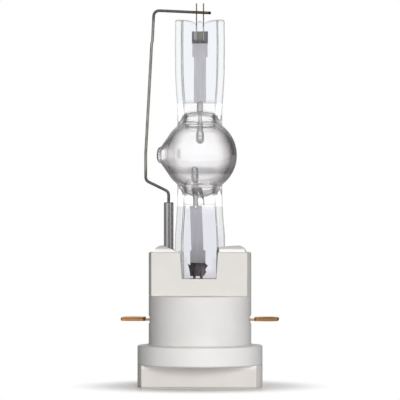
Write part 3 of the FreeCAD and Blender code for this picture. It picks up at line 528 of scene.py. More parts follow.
def metal_material(name, colour, roughness, spread, relief):
    """Metal with a lengthwise drawn finish and slightly uneven tone."""
    made, tree, shader = new_material(name, colour, roughness, 1.0)
    streaks = noise(tree, object_coords(tree, (1.0, 1.0, 0.08)), 1800.0, 3.0)
    dark = tuple(c * (1.0 - spread) for c in colour)
    light = tuple(min(1.0, c * (1.0 + spread)) for c in colour)
    paint(tree, shader, ramp(tree, streaks, [(0.3, dark), (0.7, light)]))
    rough = map_range(tree, streaks, 0.3, 0.7, roughness * 0.75, min(1.0, roughness * 1.3))
    tree.links.new(rough, shader.inputs["Roughness"])
    bump(tree, shader, streaks, relief, 0.04)
    return made


def toned_metal(name, tones, roughness, metallic, grain=(1.0, 1.0, 0.2), relief=0.2):
    """Metal with fine folds, and the colour that changes across the lamp."""
    made, tree, shader = new_material(name, tones[0][1], roughness, metallic)
    first, last = tones[0][0], tones[-1][0]
    share = rise(tree, axis_place(tree)[0], (first, last), kind="LINEAR")
    tone = ramp(tree, share, [((x - first) / (last - first), colour) for x, colour in tones])
    folds = noise(tree, object_coords(tree, grain), 900.0, 3.0)
    shade = ramp(tree, folds, [(0.3, grey(0.82)), (0.7, grey(1.15))])
    bump(tree, shader, folds, relief, 0.1)
    return made, tree, shader, tint(tree, tone, shade)


# Places on the clips: foot of the upper one, its two dark spots, top of the lower one
UPPER_CLIP_FOOT = (138.3, 138.8)
LEFT_SPOT = (-1.3, -0.7)
RIGHT_SPOT = (0.8, 1.4)
LOWER_CLIP_TOP = (47.0, 48.4)


def upper_clip_material():
    """Nickel clip: dark rolled edges, bright left strip, olive centre and dark foot."""
    edge = (0.15, 0.145, 0.17)
    made, tree, shader, body = toned_metal("upper_clip", [
        (-3.4, edge), (-2.5, edge), (-2.3, grey(0.55)), (-1.75, grey(0.52)),
        (-1.5, (0.25, 0.235, 0.2)), (-0.6, (0.22, 0.205, 0.17)), (0.6, (0.24, 0.22, 0.19)),
        (1.3, (0.24, 0.225, 0.21)), (1.6, (0.3, 0.285, 0.32)), (2.2, (0.28, 0.27, 0.3)),
        (2.5, edge), (3.3, edge)], 0.4, 0.7)
    across, _, height = axis_place(tree)
    left, right = (band(tree, across, spot, 0.5) for spot in (LEFT_SPOT, RIGHT_SPOT))
    spots = mix_colour(tree, math_node(tree, "MAXIMUM", left, right), grey(0.125), (0.08, 0.068, 0.068))
    paint(tree, shader, mix_colour(tree, fall(tree, height, UPPER_CLIP_FOOT), body, spots))
    return made


def lower_clip_material():
    """Crumpled clip, nearly black on the left and paler in its right fold; its near-black tones are
    partly painted shade of the cap slot.
    """
    # Partly painted shade: the near-black tones are the metal darkened by the cap slot's shade.
    made, tree, shader, body = toned_metal("lower_clip", [
        (-4.2, grey(0.05)), (-2.6, (0.052, 0.048, 0.048)), (-1.4, (0.105, 0.092, 0.097)),
        (-0.4, (0.13, 0.118, 0.122)), (0.3, (0.13, 0.115, 0.125)), (0.7, (0.24, 0.21, 0.235)),
        (1.2, (0.26, 0.23, 0.26)), (1.7, (0.12, 0.105, 0.12)), (3.2, (0.17, 0.15, 0.165))],
        0.45, 0.7, (1.0, 1.0, 0.45), 0.6)
    # Darker above the clip's top edge.
    top = rise(tree, axis_place(tree)[2], LOWER_CLIP_TOP)
    paint(tree, shader, tint(tree, body, mix_colour(tree, top, grey(1.0), grey(0.6))))
    return made


# Places on the foils, the lower wrap, the blades, the leads, the sleeve and the return lead
FOIL_SPAN = (46.0, 146.0)
FLARE_EDGE = (75.8, 77.0)
# Painted crease shade on the lower wrap
CREASE_SHADE_Z = (75.2, 76.8)
CREASE_SHADE_X = (-0.6, 1.2)
BLADE_SPAN = (-32.0, 32.0)
# Painted shade on the right blade
BLADE_SHADE_Z = (27.4, 27.7)
BLADE_SHADE_X = (25.5, 29.6)
CLEAN_LEAD = (48.0, 145.0)
LEAD_JOIN = (144.2, 145.0)
SEAM_X = (-12.45, -12.05)
# Painted highlight on the return lead's upright run
HIGHLIGHT_FOOT = (82.0, 90.0)
HIGHLIGHT_TOP = (144.5, 147.5)
WELD_Z = (146.5, 147.5)
WELD_X = (1.2, 4.2)
BURNT_X = (3.0, 3.8)


def foil_material():
    """Etched molybdenum ribbon, darker and browner towards the lower clip."""
    made, tree, shader = new_material("molybdenum", (0.63, 0.625, 0.65), 0.42, 0.5)
    streaks = noise(tree, object_coords(tree, (1.0, 1.0, 0.05)), 1500.0, 3.0)
    base = ramp(tree, streaks, [(0.3, (0.55, 0.545, 0.57)), (0.7, (0.68, 0.675, 0.7))])
    # Darker and browner towards the bottom of the foils.
    foil_height_tone = ramp(tree, rise(tree, axis_place(tree)[2], FOIL_SPAN, kind="LINEAR"), [
        (0.0, (0.4, 0.39, 0.37)), (0.05, (0.62, 0.62, 0.61)), (0.12, (0.86, 0.86, 0.87)),
        (0.3, grey(1.0)), (0.85, grey(1.0)), (0.9, (0.93, 0.92, 0.92)), (1.0, (0.95, 0.93, 0.92))])
    paint(tree, shader, tint(tree, base, foil_height_tone))
    bump(tree, shader, streaks, 0.2, 0.04)
    return made


def wrap_material():
    """Wrap foil round the lower rod, darker where its sheet flares out, with a painted dark crease line.
    """
    made, tree, shader = new_material("wrap", (0.5, 0.49, 0.5), 0.45, 0.3)
    folds = noise(tree, object_coords(tree, (1.0, 1.0, 0.3)), 900.0, 3.0)
    base = ramp(tree, folds, [(0.3, (0.5, 0.49, 0.5)), (0.7, (0.64, 0.63, 0.64))])
    across, _, height = axis_place(tree)
    flared = mix_colour(tree, rise(tree, height, FLARE_EDGE), grey(1.0), grey(0.52))
    # Painted shade: a dark crease line on the flat sheet.
    painted_crease_shade = times(tree, band(tree, height, CREASE_SHADE_Z, 0.6), band(tree, across, CREASE_SHADE_X, 0.6))
    paint(tree, shader, tint(tree, base, mix_colour(tree, painted_crease_shade, flared, grey(0.3))))
    bump(tree, shader, folds, 0.3, 0.08)
    return made


def blade_material():
    """Copper alloy strip, duller at its nose and where it enters the cap, with a painted near-black
    shade on the right one.
    """
    made, tree, shader = new_material("blade_alloy", (0.55, 0.3, 0.12), 0.38, 1.0)
    streaks = noise(tree, object_coords(tree, (0.15, 1.0, 1.0)), 1800.0, 3.0)
    base = ramp(tree, streaks, [(0.3, (0.54, 0.27, 0.105)), (0.7, (0.66, 0.34, 0.14))])
    across, _, height = axis_place(tree)
    tone = ramp(tree, rise(tree, across, BLADE_SPAN, kind="LINEAR"), [
        (0.0, (0.85, 1.2, 1.9)), (0.03, grey(1.0)), (0.12, (0.85, 0.88, 0.95)),
        (0.163, (0.85, 0.95, 1.05)), (0.175, (0.8, 1.2, 2.0)), (0.5, grey(1.0)),
        (0.83, (1.2, 1.6, 2.3)), (0.87, (0.78, 0.78, 0.72)), (0.96, (0.7, 0.72, 0.68)),
        (1.0, (0.5, 0.75, 1.2))])
    # Painted shade: a near-black patch on the right blade from 27.7 mm up.
    painted_blade_shade = times(tree, rise(tree, height, BLADE_SHADE_Z), band(tree, across, BLADE_SHADE_X, 0.4))
    paint(tree, shader, mix_colour(tree, painted_blade_shade, tint(tree, base, tone), (0.12, 0.055, 0.03)))
    bump(tree, shader, streaks, 0.15, 0.04)
    return made


def lead_material():
    """Lead wire, bright where the glass keeps it clean and oxidised outside."""
    made, tree, shader = new_material("lead_wire", (0.35, 0.34, 0.32), 0.4, 1.0)
    streaks = noise(tree, object_coords(tree, (1.0, 1.0, 0.08)), 1800.0, 3.0)
    base = ramp(tree, streaks, [(0.3, grey(0.85)), (0.7, grey(1.15))])
    height = axis_place(tree)[2]
    clean = band(tree, height, CLEAN_LEAD, 0.8)
    kept = mix_colour(tree, clean, (0.22, 0.21, 0.195), (0.66, 0.65, 0.68))
    joined = mix_colour(tree, band(tree, height, LEAD_JOIN, 0.5), kept, grey(0.1))
    paint(tree, shader, tint(tree, base, joined))
    bump(tree, shader, streaks, 0.15, 0.04)
    return made


def sleeve_material():
    """Polished tube with a dark rolled seam."""
    made, tree, shader = new_material("sleeve_metal", (0.5, 0.48, 0.49), 0.16, 1.0)
    streaks = noise(tree, object_coords(tree, (1.0, 1.0, 0.04)), 1500.0, 3.0)
    base = ramp(tree, streaks, [(0.3, (0.42, 0.4, 0.41)), (0.7, (0.56, 0.54, 0.55))])
    seam = times(tree, band(tree, axis_place(tree)[0], SEAM_X, 0.3), 0.85)
    paint(tree, shader, mix_colour(tree, seam, base, (0.13, 0.12, 0.12)))
    bump(tree, shader, streaks, 0.25, 0.06)
    return made


def return_wire_material():
    """Oxidised nickel wire with a painted highlight along its upright run, heat tinted where it is
    welded to the leads and burnt at its end.
    """
    made, tree, shader = new_material("return_wire", (0.2, 0.19, 0.18), 0.42, 0.85)
    streaks = noise(tree, object_coords(tree, (1.0, 1.0, 0.25)), 900.0, 5.0)
    base = ramp(tree, streaks, [(0.3, (0.13, 0.122, 0.11)), (0.7, (0.26, 0.25, 0.235))])
    across, _, height = axis_place(tree)
    # Painted highlight: the upright run lighter, the rest darker.
    painted_highlight_run = times(tree, rise(tree, height, HIGHLIGHT_FOOT), fall(tree, height, HIGHLIGHT_TOP))
    with_painted_light = tint(tree, base, mix_colour(tree, painted_highlight_run, grey(0.72), grey(1.75)))
    near = fall(tree, math_node(tree, "ABSOLUTE", across), WELD_X)
    heated = times(tree, near, rise(tree, height, WELD_Z))
    warm = mix_colour(tree, heated, with_painted_light, (0.11, 0.085, 0.04))
    paint(tree, shader, mix_colour(tree, rise(tree, across, BURNT_X), warm, (0.015, 0.013, 0.012)))
    bump(tree, shader, streaks, 0.4, 0.1)
    return made


# Glass envelope

def quarter_section(half_width, rib_depth, web_depth, corner):
    """Quarter outline from the rib side over the rib to the centre of the web."""
    rib = half_width - RIB_WIDTH
    step = max(rib_depth - web_depth, STEP_LEAST)
    web_depth = rib_depth - step
    inner_r = min(RIB_INNER_R, INNER_SHARE * step)
    channel_r = min(CHANNEL_R, CHANNEL_SHARE * step)
    points = [(half_width, y) for y in np.linspace(0, rib_depth - corner, 14)]
    for a in np.linspace(0, math.pi / 2, 8)[1:]:
        points.append((half_width - corner + corner * math.cos(a),
                       rib_depth - corner + corner * math.sin(a)))
    for a in np.linspace(math.pi / 2, math.pi, 6):
        points.append((rib + inner_r + inner_r * math.cos(a),
                       rib_depth - inner_r + inner_r * math.sin(a)))
    for a in np.linspace(0, -math.pi / 2, 6):
        points.append((rib - channel_r + channel_r * math.cos(a),
                       web_depth + channel_r + channel_r * math.sin(a)))
    for x in np.linspace(rib - channel_r, 0, 15)[1:]:
        points.append((x, web_depth))
    return np.array(points)


def full_loop(quarter):
    """Mirror a quarter outline round to a closed counter-clockwise loop."""
    x, y = quarter[:, 0], quarter[:, 1]
    first = np.stack([x, y], 1)[:-1]
    second = np.stack([-x, y], 1)[::-1][:-1]
    third = np.stack([-x, -y], 1)[:-1]
    fourth = np.stack([x, -y], 1)[::-1][:-1]
    return np.concatenate([first, second, third, fourth])


def smooth_min(a, b, soft):
    return -smooth_max(-a, -b, soft)


def pressed(reach):
    """Share of the way from the deep neck to the flat seal."""
    share = (reach - NECK_PRESS) / (PRESS_END - NECK_PRESS)
    return float(smooth_min(smooth_max(share, 0.0, PRESS_BLEND), 1.0, PRESS_BLEND))


def stem_loop(height):
    """Outline of neck and pinch at a height over the bulb centre."""
    reach = abs(height)
    flat = UPPER_FLAT if height > 0 else LOWER_FLAT
    share = pressed(reach)
    depth = mix(NECK_DEPTH, RIB_DEPTH, share)
    corner = mix(NECK_CORNER_R, RIB_OUTER_R, share)
    along = min(max((reach - flat) / WEB_RAMP + 1.0, 0.0), 1.0)
    web = depth - (RIB_DEPTH - WEB_DEPTH) * along
    half = mix(NECK_HALF, PINCH_HALF, ease((reach - NECK_END) / (PINCH_FULL - NECK_END)))
    half += RIB_WAVE * math.sin(RIB_WAVE_TURN * height + RIB_WAVE_PHASE) * along
    quarter = quarter_section(half, depth, web, corner)
    hump = depth * np.sqrt(np.clip(1.0 - (quarter[:, 0] / HUMP_HALF) ** 2, 0.0, 1.0))
    blend = HUMP_BLEND_FLAT + HUMP_BLEND * (1.0 - share)
    outline = smooth_max(np.full(len(hump), RIB_DEPTH), hump, blend)
    quarter[:, 1] *= np.minimum(outline / depth, 1.0)
    return full_loop(quarter)


def loop_angles(loop):
    return np.arctan2(loop[:, 1], loop[:, 0])


UPPER_ANGLES = np.unwrap(loop_angles(stem_loop(NECK_END)))
LOWER_ANGLES = np.unwrap(loop_angles(stem_loop(-NECK_END)))
LOOP = len(UPPER_ANGLES)


def stem_radius(height, angles):
    """Distance from the lamp axis to the stem outline at the given angles."""
    loop = stem_loop(height)
    turn = np.unwrap(loop_angles(loop))
    size = np.linalg.norm(loop, axis=1)
    turn = np.concatenate([turn - 2 * math.pi, turn, turn + 2 * math.pi])
    return np.interp(angles, turn, np.tile(size, 3))


def outer_tip(x):
    """Radius of the tip-off round the X axis at a distance from the bulb centre."""
    base = math.sqrt(BULB_R ** 2 - TIP_CONE_X ** 2)
    cone = mix(base, TIP_NECK_R, (x - TIP_CONE_X) / (TIP_NECK_X - TIP_CONE_X))
    cone = np.where((x > TIP_CONE_X) & (x < TIP_NECK_X), cone, 0.0)
    bulge = 1.0 - ((x - NIB_X) / NIB_HALF) ** 2
    nib = NIB_R * np.sqrt(np.clip(bulge, 0.0, 1.0))
    return np.maximum(cone, nib)


def inner_tip(x):
    """Radius of the hollow in the tip-off."""
    cone = mix(INNER_CONE_R, INNER_TIP_R, (x - INNER_CONE_X) / (INNER_TIP_X - INNER_CONE_X))
    return np.where((x > INNER_CONE_X) & (x < INNER_TIP_X), cone, 0.0)


def swept_distance(height, angles, tip):
    """Level distance from the lamp axis to the tip-off, zero where it is not met."""
    x = -np.cos(angles)[:, None] * TIP_SCAN[None, :]
    y = np.sin(angles)[:, None] * TIP_SCAN[None, :]
    inside = np.sqrt(y ** 2 + height ** 2) <= tip(x)
    inside &= np.cos(angles)[:, None] < 0
    return np.max(np.where(inside, TIP_SCAN[None, :], 0.0), axis=1)


def round_loop(height, angles, radius, neck, tip, soft):
    """Level outline of a ball with its necks and tip-off."""
    ball = math.sqrt(max(radius ** 2 - height ** 2, 0.0))
    ring = smooth_max(np.full(len(angles), ball), neck, soft)
    ring = np.maximum(ring, swept_distance(height, angles, tip))
    return np.stack([ring * np.cos(angles), ring * np.sin(angles)], 1)


def outer_loop(z):
    height = z - BULB_Z
    if abs(height) >= NECK_END:
        return stem_loop(height)
    angles = mix(LOWER_ANGLES, UPPER_ANGLES, (height + NECK_END) / (2 * NECK_END))
    neck = stem_radius(height, angles)
    return round_loop(height, angles, BULB_R, neck, outer_tip, OUTER_BLEND)


def top_profile(x):
    """Drop of the upper glass edge where it wets the two lead wires."""
    away = np.abs(np.abs(x) - LEAD_PITCH)
    width = np.where(np.abs(x) > LEAD_PITCH, MENISCUS_OUTER, MENISCUS_INNER)
    wetted = MENISCUS_DEPTH * np.exp(-(away / width) ** MENISCUS_POWER)
    return wetted + CROWN_RISE * ease((CROWN_HALF - np.abs(x)) / CROWN_FALL)


def outer_shell():
    """Points and faces of the outside of the glass."""
    zones = [(-LOWER_FLAT, 24), (-LOWER_CAVITY - CAVITY_MARGIN, 14), (-NECK_END, 10), (-BALL_ZONE, 22),
             (BALL_ZONE, 75), (NECK_END, 22), (UPPER_CAVITY + CAVITY_MARGIN, 14), (UPPER_FLAT, 12),
             (GLASS_TOP_Z - TOP_ZONE - BULB_Z, 24)]
    heights = [np.array([GLASS_FOOT_Z])]
    for reach, count in zones:
        heights.append(np.linspace(heights[-1][-1], BULB_Z + reach, count)[1:])
    heights = np.concatenate(heights)
    rings = []
    for z in heights:
        ring = outer_loop(z)
        rings.append(np.column_stack([ring, np.full(LOOP, z)]))
    last = outer_loop(GLASS_TOP_Z)
    run = np.roll(last, -1, 0) - np.roll(last, 1, 0)
    inward = np.stack([-run[:, 1], run[:, 0]], 1) / np.linalg.norm(run, axis=1)[:, None]
    for z in np.linspace(GLASS_TOP_Z - TOP_ZONE, GLASS_TOP_Z - EDGE_R, 9)[1:]:
        rings.append(np.column_stack([last, np.full(LOOP, z)]))
    for a in np.linspace(0, math.pi / 2, 7)[1:]:
        inset = EDGE_R * (1.0 - math.cos(a))
        z = GLASS_TOP_Z - EDGE_R + EDGE_R * math.sin(a)
        rings.append(np.column_stack([last + inward * inset, np.full(LOOP, z)]))
    for ring in rings:
        height = float(np.mean(ring[:, 2])) - BULB_Z
        reach = abs(height)
        flat = UPPER_FLAT if height > 0 else LOWER_FLAT
        begun = ease((reach - ARCH_START) / (PRESS_END - ARCH_START))
        arch = begun * ease((flat - reach) / (flat - ARCH_END))
        drop = dome_drop(np.clip(ring[:, 0], -BORE_R, BORE_R))
        ring[:, 2] -= math.copysign(float(arch), height) * drop
        weight = ease((ring[:, 2] - GLASS_TOP_Z + TOP_ZONE) / TOP_ZONE)
        ring[:, 2] -= top_profile(ring[:, 0]) * weight
    points = np.concatenate(rings)
    faces = loft_faces(len(rings), LOOP)
    top = (len(rings) - 1) * LOOP
    for i in range(LOOP // 2):
        strip = [i, i + 1, (LOOP - i - 1) % LOOP, (LOOP - i) % LOOP]
        if strip[0] == strip[3]:
            strip.pop()
        faces.append(tuple(top + corner for corner in strip))
        faces.append(tuple(strip[::-1]))
    return points, faces


def inner_loop(height, angles):
    """Level outline of the discharge chamber, flattened towards its ends."""
    reach = abs(height)
    run = PRESS_END - NECK_PRESS
    narrowing = NECK_DEPTH - RIB_DEPTH
    sloped = mix(NECK_DEPTH, RIB_DEPTH, (reach - NECK_PRESS) / run)
    sloped -= NECK_WALL * math.hypot(run, narrowing) / run
    depth = smooth_max(sloped, RIB_DEPTH - NECK_WALL, DEPTH_BLEND)
    neck = 1.0 / np.hypot(np.cos(angles) / BORE_R, np.sin(angles) / min(float(depth), BORE_R))
    return round_loop(height, angles, BULB_R - WALL, neck, inner_tip, INNER_BLEND)


def dome_drop(x):
    return DOME_R - np.sqrt(DOME_R ** 2 - x ** 2)


def chamber_ring(height, angles):
    """One loop of the chamber wall, arched towards the neck ends."""
    ring = inner_loop(height, angles)
    arch = dome_drop(ring[:, 0]) * ease((abs(height) - BULB_R + WALL) / ARCH_FADE)
    side = math.copysign(1.0, height)
    return np.column_stack([ring, BULB_Z + height - side * arch])


def chamber_end(side, cavity, angles):
    """Rounded end of the chamber, closing on an arched line."""
    start = cavity - END_ROUND
    outline = inner_loop(side * start, angles)
    rings = []
    for a in np.linspace(0, math.pi / 2 - END_GAP, 14):
        x = outline[:, 0] * (1.0 - END_TAPER * (1.0 - math.cos(a)))
        y = outline[:, 1] * math.cos(a)
        reach = mix(start, cavity, math.sin(a)) - dome_drop(x)
        rings.append(np.column_stack([x, y, BULB_Z + side * reach]))
    return rings


def inner_shell(start):
    """Points and faces of the discharge chamber, facing into it."""
    count = CHAMBER_SIDES
    angles = np.linspace(0, 2 * math.pi, count, endpoint=False)
    low = LOWER_CAVITY - END_ROUND
    high = UPPER_CAVITY - END_ROUND
    rings = chamber_end(-1, LOWER_CAVITY, angles)[::-1]
    heights = np.concatenate([
        np.linspace(-low, -CHAMBER_ZONE, 18)[1:],
        np.linspace(-CHAMBER_ZONE, CHAMBER_ZONE, 61)[1:],
        np.linspace(CHAMBER_ZONE, high, 24)[1:-1]])
    rings += [chamber_ring(height, angles) for height in heights]
    rings += chamber_end(1, UPPER_CAVITY, angles)
    points = np.concatenate(rings)
    faces = loft_faces(len(rings), count, start, flip=True)
    faces.append(tuple(start + i for i in range(count)))
    last = start + (len(rings) - 1) * count
    faces.append(tuple(last + i for i in range(count))[::-1])
    return points, faces


def glass_envelope(material):
    points, faces = outer_shell()
    inner_points, inner_faces = inner_shell(len(points))
    return mesh_object("quartz_glass", np.concatenate([points, inner_points]),
                       faces + inner_faces, material)


# Windings

def end_capped(faces, levels, sides):
    """Add the two flat ends to the faces of a loft."""
    last = (levels - 1) * sides
    faces.append(tuple(range(sides))[::-1])
    faces.append(tuple(range(last, last + sides)))
    return faces


def tube_along(path, radius, sides=10):
    """Points and faces of a round wire along a path of points."""
    path = np.asarray(path, float)
    ahead = np.gradient(path, axis=0)
    ahead /= np.linalg.norm(ahead, axis=1)[:, None]
    normal = np.cross(ahead[0], (0.0, 0.0, 1.0))
    if np.linalg.norm(normal) < 1e-6:
        normal = np.array((1.0, 0.0, 0.0))
    rings = []
    turn = np.linspace(0, 2 * math.pi, sides, endpoint=False)
    for point, forward in zip(path, ahead):
        normal = normal - forward * (normal @ forward)
        normal /= np.linalg.norm(normal)
        side = np.cross(forward, normal)
        rings.append(point + radius * (np.cos(turn)[:, None] * normal + np.sin(turn)[:, None] * side))
    return np.concatenate(rings), end_capped(loft_faces(len(path), sides), len(path), sides)


def helix(radius, start, end, pitch, phase=0.0, sense=1.0):
    """Path of a wire wound round the Z axis."""
    turns = (end - start) / pitch
    t = np.linspace(0, 1, int(turns * 22) + 2)
    angle = phase + sense * 2 * math.pi * turns * t
    return np.stack([radius * np.cos(angle), radius * np.sin(angle), mix(start, end, t)], 1)


def turned(profile, sides):
    """Points and faces of a round body from (radius, z) pairs, closed at both ends."""
    turn = np.linspace(0, 2 * math.pi, sides, endpoint=False)
    rings = [np.stack([r * np.cos(turn), r * np.sin(turn), np.full(sides, z)], 1) for r, z in profile]
    return np.concatenate(rings), end_capped(loft_faces(len(profile), sides), len(profile), sides)


def winding(name, place, material, head_length, head_r, coil_length, layered=False):
    """Fused round-ended head, then turns of wire round the rod in one or two layers."""
    dome_end = TIP_REACH + HEAD_DOME * head_r
    head_end = TIP_REACH + head_length
    outer_end = TIP_REACH + HEAD_LENGTH
    tail = outer_end + COIL_GAP + coil_length
    profile = [(HEAD_TIP_R, TIP_REACH)]
    for a in np.linspace(HEAD_TIP_TURN, math.pi / 2, 9):
        profile.append((head_r * math.sin(a), TIP_REACH + HEAD_DOME * head_r * (1.0 - math.cos(a))))
    for z in np.linspace(dome_end, head_end - HEAD_RIM, 9)[1:]:
        profile.append((head_r * (1.0 + HEAD_WAVE * math.sin(HEAD_WAVE_TURN * z)), z))
    profile.append((head_r - HEAD_EDGE, head_end - HEAD_EDGE))
    profile.append((head_r - HEAD_SHOULDER, head_end))
    profile.append((HEAD_HOLE_R, head_end))
    points, faces = turned(profile, 28)
    coil = helix(COIL_R - WIRE_R, head_end - COIL_SINK, tail - WIRE_R, COIL_PITCH)
    wires = [tube_along(coil, WIRE_R)]
    if layered:
        outer = helix(OUTER_R, head_end - OUTER_SINK, outer_end + OUTER_RUN, OUTER_PITCH, 1.0, -1.0)
        wires.append(tube_along(outer, OUTER_WIRE_R))
    for more, more_faces in wires:
        faces = faces + [tuple(len(points) + v for v in f) for f in more_faces]
        points = np.concatenate([points, more])
    return mesh_object(name, place(points), faces, material)


def lower_wrap(material):
    """Tube wound round the lower rod, fused with its flared sheet."""
    outline = [(-SHEET_HALF, SHEET_TOP), (SHEET_FLARE, SHEET_TOP), (LEG_X, SHEET_FOOT),
               (LEG_X, LOWER_FLAT), (LEG_X - LEG_WIDTH, LOWER_FLAT), (LEG_X - LEG_WIDTH, SHEET_FOOT),
               (ROD_R + LEG_WIDTH, SHEET_STEP), (-SHEET_HALF, SHEET_STEP)]
    top = SHEET_STEP - TUBE_OVERLAP
    tube = [(ROD_R, top), (WRAP_R, top), (WRAP_R, LOWER_FLAT), (ROD_R, LOWER_FLAT)]
    points, faces = turned(tube, 24)
    first, count = len(points), len(outline)
    front = [(x, SHEET_FRONT, z) for x, z in outline]
    back = [(x, SHEET_BACK, z) for x, z in outline]
    points = np.concatenate([points, front, back])
    faces.append(tuple(first + i for i in range(count))[::-1])
    faces.append(tuple(first + count + i for i in range(count)))
    for i in range(count):
        j = (i + 1) % count
        faces.append((first + i, first + j, first + count + j, first + count + i))
    return mesh_object("lower_wrap", below(points), faces, material, smooth=False)


def above(points):
    """Stand the winding over the bulb centre."""
    moved = points.copy()
    moved[:, 2] += BULB_Z
    return moved


def below(points):
    """Turn the winding under the bulb centre and lean it with the lower mount."""
    x = points[:, 0] + PIVOT_X
    y = -points[:, 1]
    z = BULB_Z - points[:, 2]
    dx, dz = x - PIVOT_X, z - PIVOT_Z
    c, s = math.cos(-LEAN), math.sin(-LEAN)
    return np.stack([PIVOT_X + c * dx + s * dz, y, PIVOT_Z - s * dx + c * dz], 1)


# World and lights

def studio_world():
    """White backdrop, a wide soft light in front and dim sides, in one map for each kind of ray."""
    world = bpy.data.worlds.new("studio")
    bpy.context.scene.world = world
    world.use_nodes = True
    tree = world.node_tree
    back = tree.nodes["Background"]
    coords = add(tree, "ShaderNodeTexCoord")
    place = add(tree, "ShaderNodeSeparateXYZ")
    tree.links.new(coords.outputs["Generated"], place.inputs["Vector"])
    turn = math_node(tree, "ARCTAN2", place.outputs["X"], place.outputs["Y"])
    around = map_range(tree, turn, -math.pi, math.pi, 0.0, 1.0, "LINEAR")
    path = add(tree, "ShaderNodeLightPath")
    mirrored = ramp(tree, around, [(0.0, grey(1.5)), (0.05, grey(1.5)), (0.08, grey(1.3)),
                                   (0.16, grey(1.2)), (0.2, grey(0.15)), (0.3, grey(0.1)),
                                   (0.36, grey(0.3)), (0.4, grey(0.1)), (0.462, grey(1.0)),
                                   (0.538, grey(1.0)), (0.56, grey(0.1)), (0.66, grey(0.06)),
                                   (0.8, grey(0.08)), (0.84, grey(1.0)), (0.92, grey(1.3)),
                                   (0.95, grey(1.5))])
    passed = ramp(tree, around, [(0.0, grey(0.9)), (0.1, grey(0.5)), (0.2, grey(0.3)),
                                 (0.4, grey(0.3)), (0.45, grey(1.12)), (0.55, grey(1.12)),
                                 (0.6, grey(0.25)), (0.8, grey(0.3)), (0.9, grey(0.9))])
    level = mix_colour(tree, path.outputs["Is Transmission Ray"], mirrored, passed)
    over = map_range(tree, place.outputs["Z"], 0.45, 0.85, 0.0, 1.0)
    room = mix_colour(tree, over, level, grey(0.5))
    diffuse = math_node(tree, "MINIMUM", path.outputs["Diffuse Depth"], 1.0)
    tinted = mix_colour(tree, over, (0.04, 0.036, 0.031), (0.27, 0.25, 0.235))
    soft = mix_colour(tree, diffuse, room, tinted)
    colour = mix_colour(tree, path.outputs["Is Camera Ray"], soft, grey(1.0))
    tree.links.new(colour, back.inputs["Color"])
    world.cycles.sampling_method = "NONE"


def area_light(name, place, aim, size, power):
    data = bpy.data.lights.new(name, "AREA")
    data.shape = "SQUARE"
    data.size = size * MM
    data.energy = power
    lamp = bpy.data.objects.new(name, data)
    bpy.context.scene.collection.objects.link(lamp)
    lamp.location = Vector(place) * MM
    direction = Vector(aim) - Vector(place)
    lamp.rotation_euler = direction.to_track_quat("-Z", "Y").to_euler()
    lamp.visible_glossy = False
    lamp.visible_transmission = False


# Half size of the floor, and where its shade and the glow that other rays see fade from the axis
FLOOR_HALF = 30000.0
SHADE_FADE = (24.0, 55.0)
GLOW_FADE = (50.0, 300.0)


def studio_floor():
    """Pale floor that glows white and fades to its real shade close round the lamp."""
    mesh = bpy.data.meshes.new("floor")
    half = FLOOR_HALF * MM
    mesh.from_pydata([(-half, -half, 0), (half, -half, 0), (half, half, 0), (-half, half, 0)],
                     [], [(0, 1, 2, 3)])
    floor = bpy.data.objects.new("floor", mesh)
    bpy.context.scene.collection.objects.link(floor)
    made, tree, shader = new_material("floor", grey(0.95), 0.9)
    vector = object_coords(tree)
    tone = ramp(tree, noise(tree, vector, 40.0, 3.0), [(0.3, grey(0.945)), (0.7, grey(0.955))])
    shader.inputs["Specular IOR Level"].default_value = 0.1
    path = add(tree, "ShaderNodeLightPath")
    diffuse = math_node(tree, "MINIMUM", path.outputs["Diffuse Depth"], 1.0)
    paint(tree, shader, mix_colour(tree, diffuse, tint(tree, tone, grey(1.15)), grey(0.72)))
    length = add(tree, "ShaderNodeVectorMath", operation="LENGTH")
    tree.links.new(vector, length.inputs[0])
    away = length.outputs["Value"]
    bounced = math_node(tree, "MINIMUM", path.outputs["Glossy Depth"], 1.0)
    through = mix_colour(tree, bounced, rise(tree, away, GLOW_FADE, 0.35), grey(0.4))
    seen = mix_colour(tree, path.outputs["Is Camera Ray"], through, grey(1.0))
    shown = math_node(tree, "SUBTRACT", 1.0, diffuse)
    mirror = add(tree, "ShaderNodeBsdfGlossy")
    mirror.inputs["Roughness"].default_value = 0.22
    polish = add(tree, "ShaderNodeMixShader")
    tree.links.new(times(tree, shown, 0.25), polish.inputs[0])
    tree.links.new(shader.outputs[0], polish.inputs[1])
    tree.links.new(mirror.outputs[0], polish.inputs[2])
    glow = add(tree, "ShaderNodeEmission")
    tree.links.new(seen, glow.inputs["Color"])
    blend = add(tree, "ShaderNodeMixShader")
    tree.links.new(times(tree, rise(tree, away, SHADE_FADE), shown), blend.inputs[0])
    tree.links.new(polish.outputs[0], blend.inputs[1])
    tree.links.new(glow.outputs[0], blend.inputs[2])
    tree.links.new(blend.outputs[0], tree.nodes["Material Output"].inputs["Surface"])
    mesh.materials.append(made)


# Camera: level, a little to the right of the lamp's front
CAMERA_DISTANCE = 1250.0
CAMERA_HEIGHT = 74.4
CAMERA_TURN = math.radians(3.0)
CAMERA_HALF_VIEW = math.radians(3.66)
SENSOR_WIDTH = 36.0


def studio_camera():
    data = bpy.data.cameras.new("camera")
    data.sensor_width = SENSOR_WIDTH
    data.lens = 0.5 * SENSOR_WIDTH / math.tan(CAMERA_HALF_VIEW)
    data.clip_start = 0.05
    data.clip_end = 100.0
    camera = bpy.data.objects.new("camera", data)
    bpy.context.scene.collection.objects.link(camera)
    side = CAMERA_DISTANCE * math.sin(CAMERA_TURN)
    front = -CAMERA_DISTANCE * math.cos(CAMERA_TURN)
    camera.location = (side * MM, front * MM, CAMERA_HEIGHT * MM)
    camera.rotation_euler = (math.pi / 2, 0.0, CAMERA_TURN)
    bpy.context.scene.camera = camera


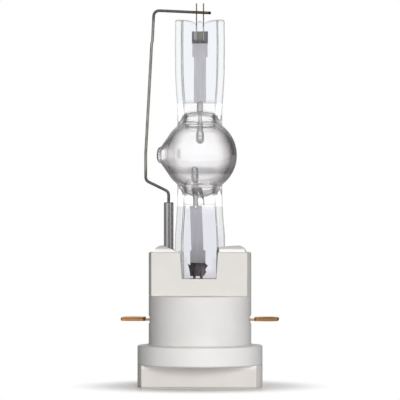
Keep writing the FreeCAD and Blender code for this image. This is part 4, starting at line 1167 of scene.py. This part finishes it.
def dress(node, material):
    """Give a CAD node its finish."""
    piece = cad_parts[node]
    piece.data.materials.clear()
    piece.data.materials.append(material)


def attach(piece, slot, *nodes):
    """Fix a visual piece to the lamp in place of its CAD nodes."""
    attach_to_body(piece, "root")
    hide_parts(*nodes)


studio_world()
studio_floor()
studio_camera()
area_light("key_light", (270.0, -1160.0, 170.0), (0.0, 0.0, 80.0), 500.0, 14.0)
area_light("back_light", (0.0, 1200.0, 250.0), (0.0, 0.0, 50.0), 600.0, 8.0)

ceramic = ceramic_material()
cement = cement_material()
quartz = glass_material()
blade = blade_material()
tungsten = metal_material("tungsten", (0.96, 0.93, 0.94), 0.035, 0.06, 0.04)
molybdenum = foil_material()
wrap_metal = wrap_material()
upper_clip = upper_clip_material()
lower_clip = lower_clip_material()
lead_metal = lead_material()
return_metal = return_wire_material()
sleeve_metal = sleeve_material()

dress("ceramic_cap", ceramic)
for name in ("cement_left", "cement_right"):
    dress(name, cement)
for name in ("contact_blade_left", "contact_blade_right"):
    dress(name, blade)
for name in ("upper_electrode_rod", "lower_electrode_rod"):
    dress(name, tungsten)
for name in ("upper_electrode_wrap", "upper_foil", "lower_foil",
             "upper_foil_plate", "lower_foil_plate"):
    dress(name, molybdenum)
dress("upper_lead_clip", upper_clip)
dress("lower_lead_clip", lower_clip)
for name in ("upper_lead_left", "upper_lead_right", "lower_lead_left", "lower_lead_right",
             "lower_connector"):
    dress(name, lead_metal)
dress("return_lead", return_metal)
dress("return_sleeve", sleeve_metal)

attach(glass_envelope(quartz), "quartz", "quartz_envelope")
upper_winding = winding("upper_winding", above, tungsten, HEAD_LENGTH, UPPER_HEAD_R, COIL_LENGTH)
lower_winding = winding("lower_winding", below, tungsten, LOWER_HEAD_LENGTH, LOWER_HEAD_R,
                        COIL_LENGTH - LOWER_COIL_CUT, layered=True)
attach(lower_wrap(wrap_metal), "molybdenum", "lower_electrode_wrap")
attach(upper_winding, "tungsten", "upper_electrode_coil")
attach(lower_winding, "tungsten", "lower_electrode_coil")

view = bpy.context.scene.view_settings
view.view_transform = "Standard"
view.look = "None"
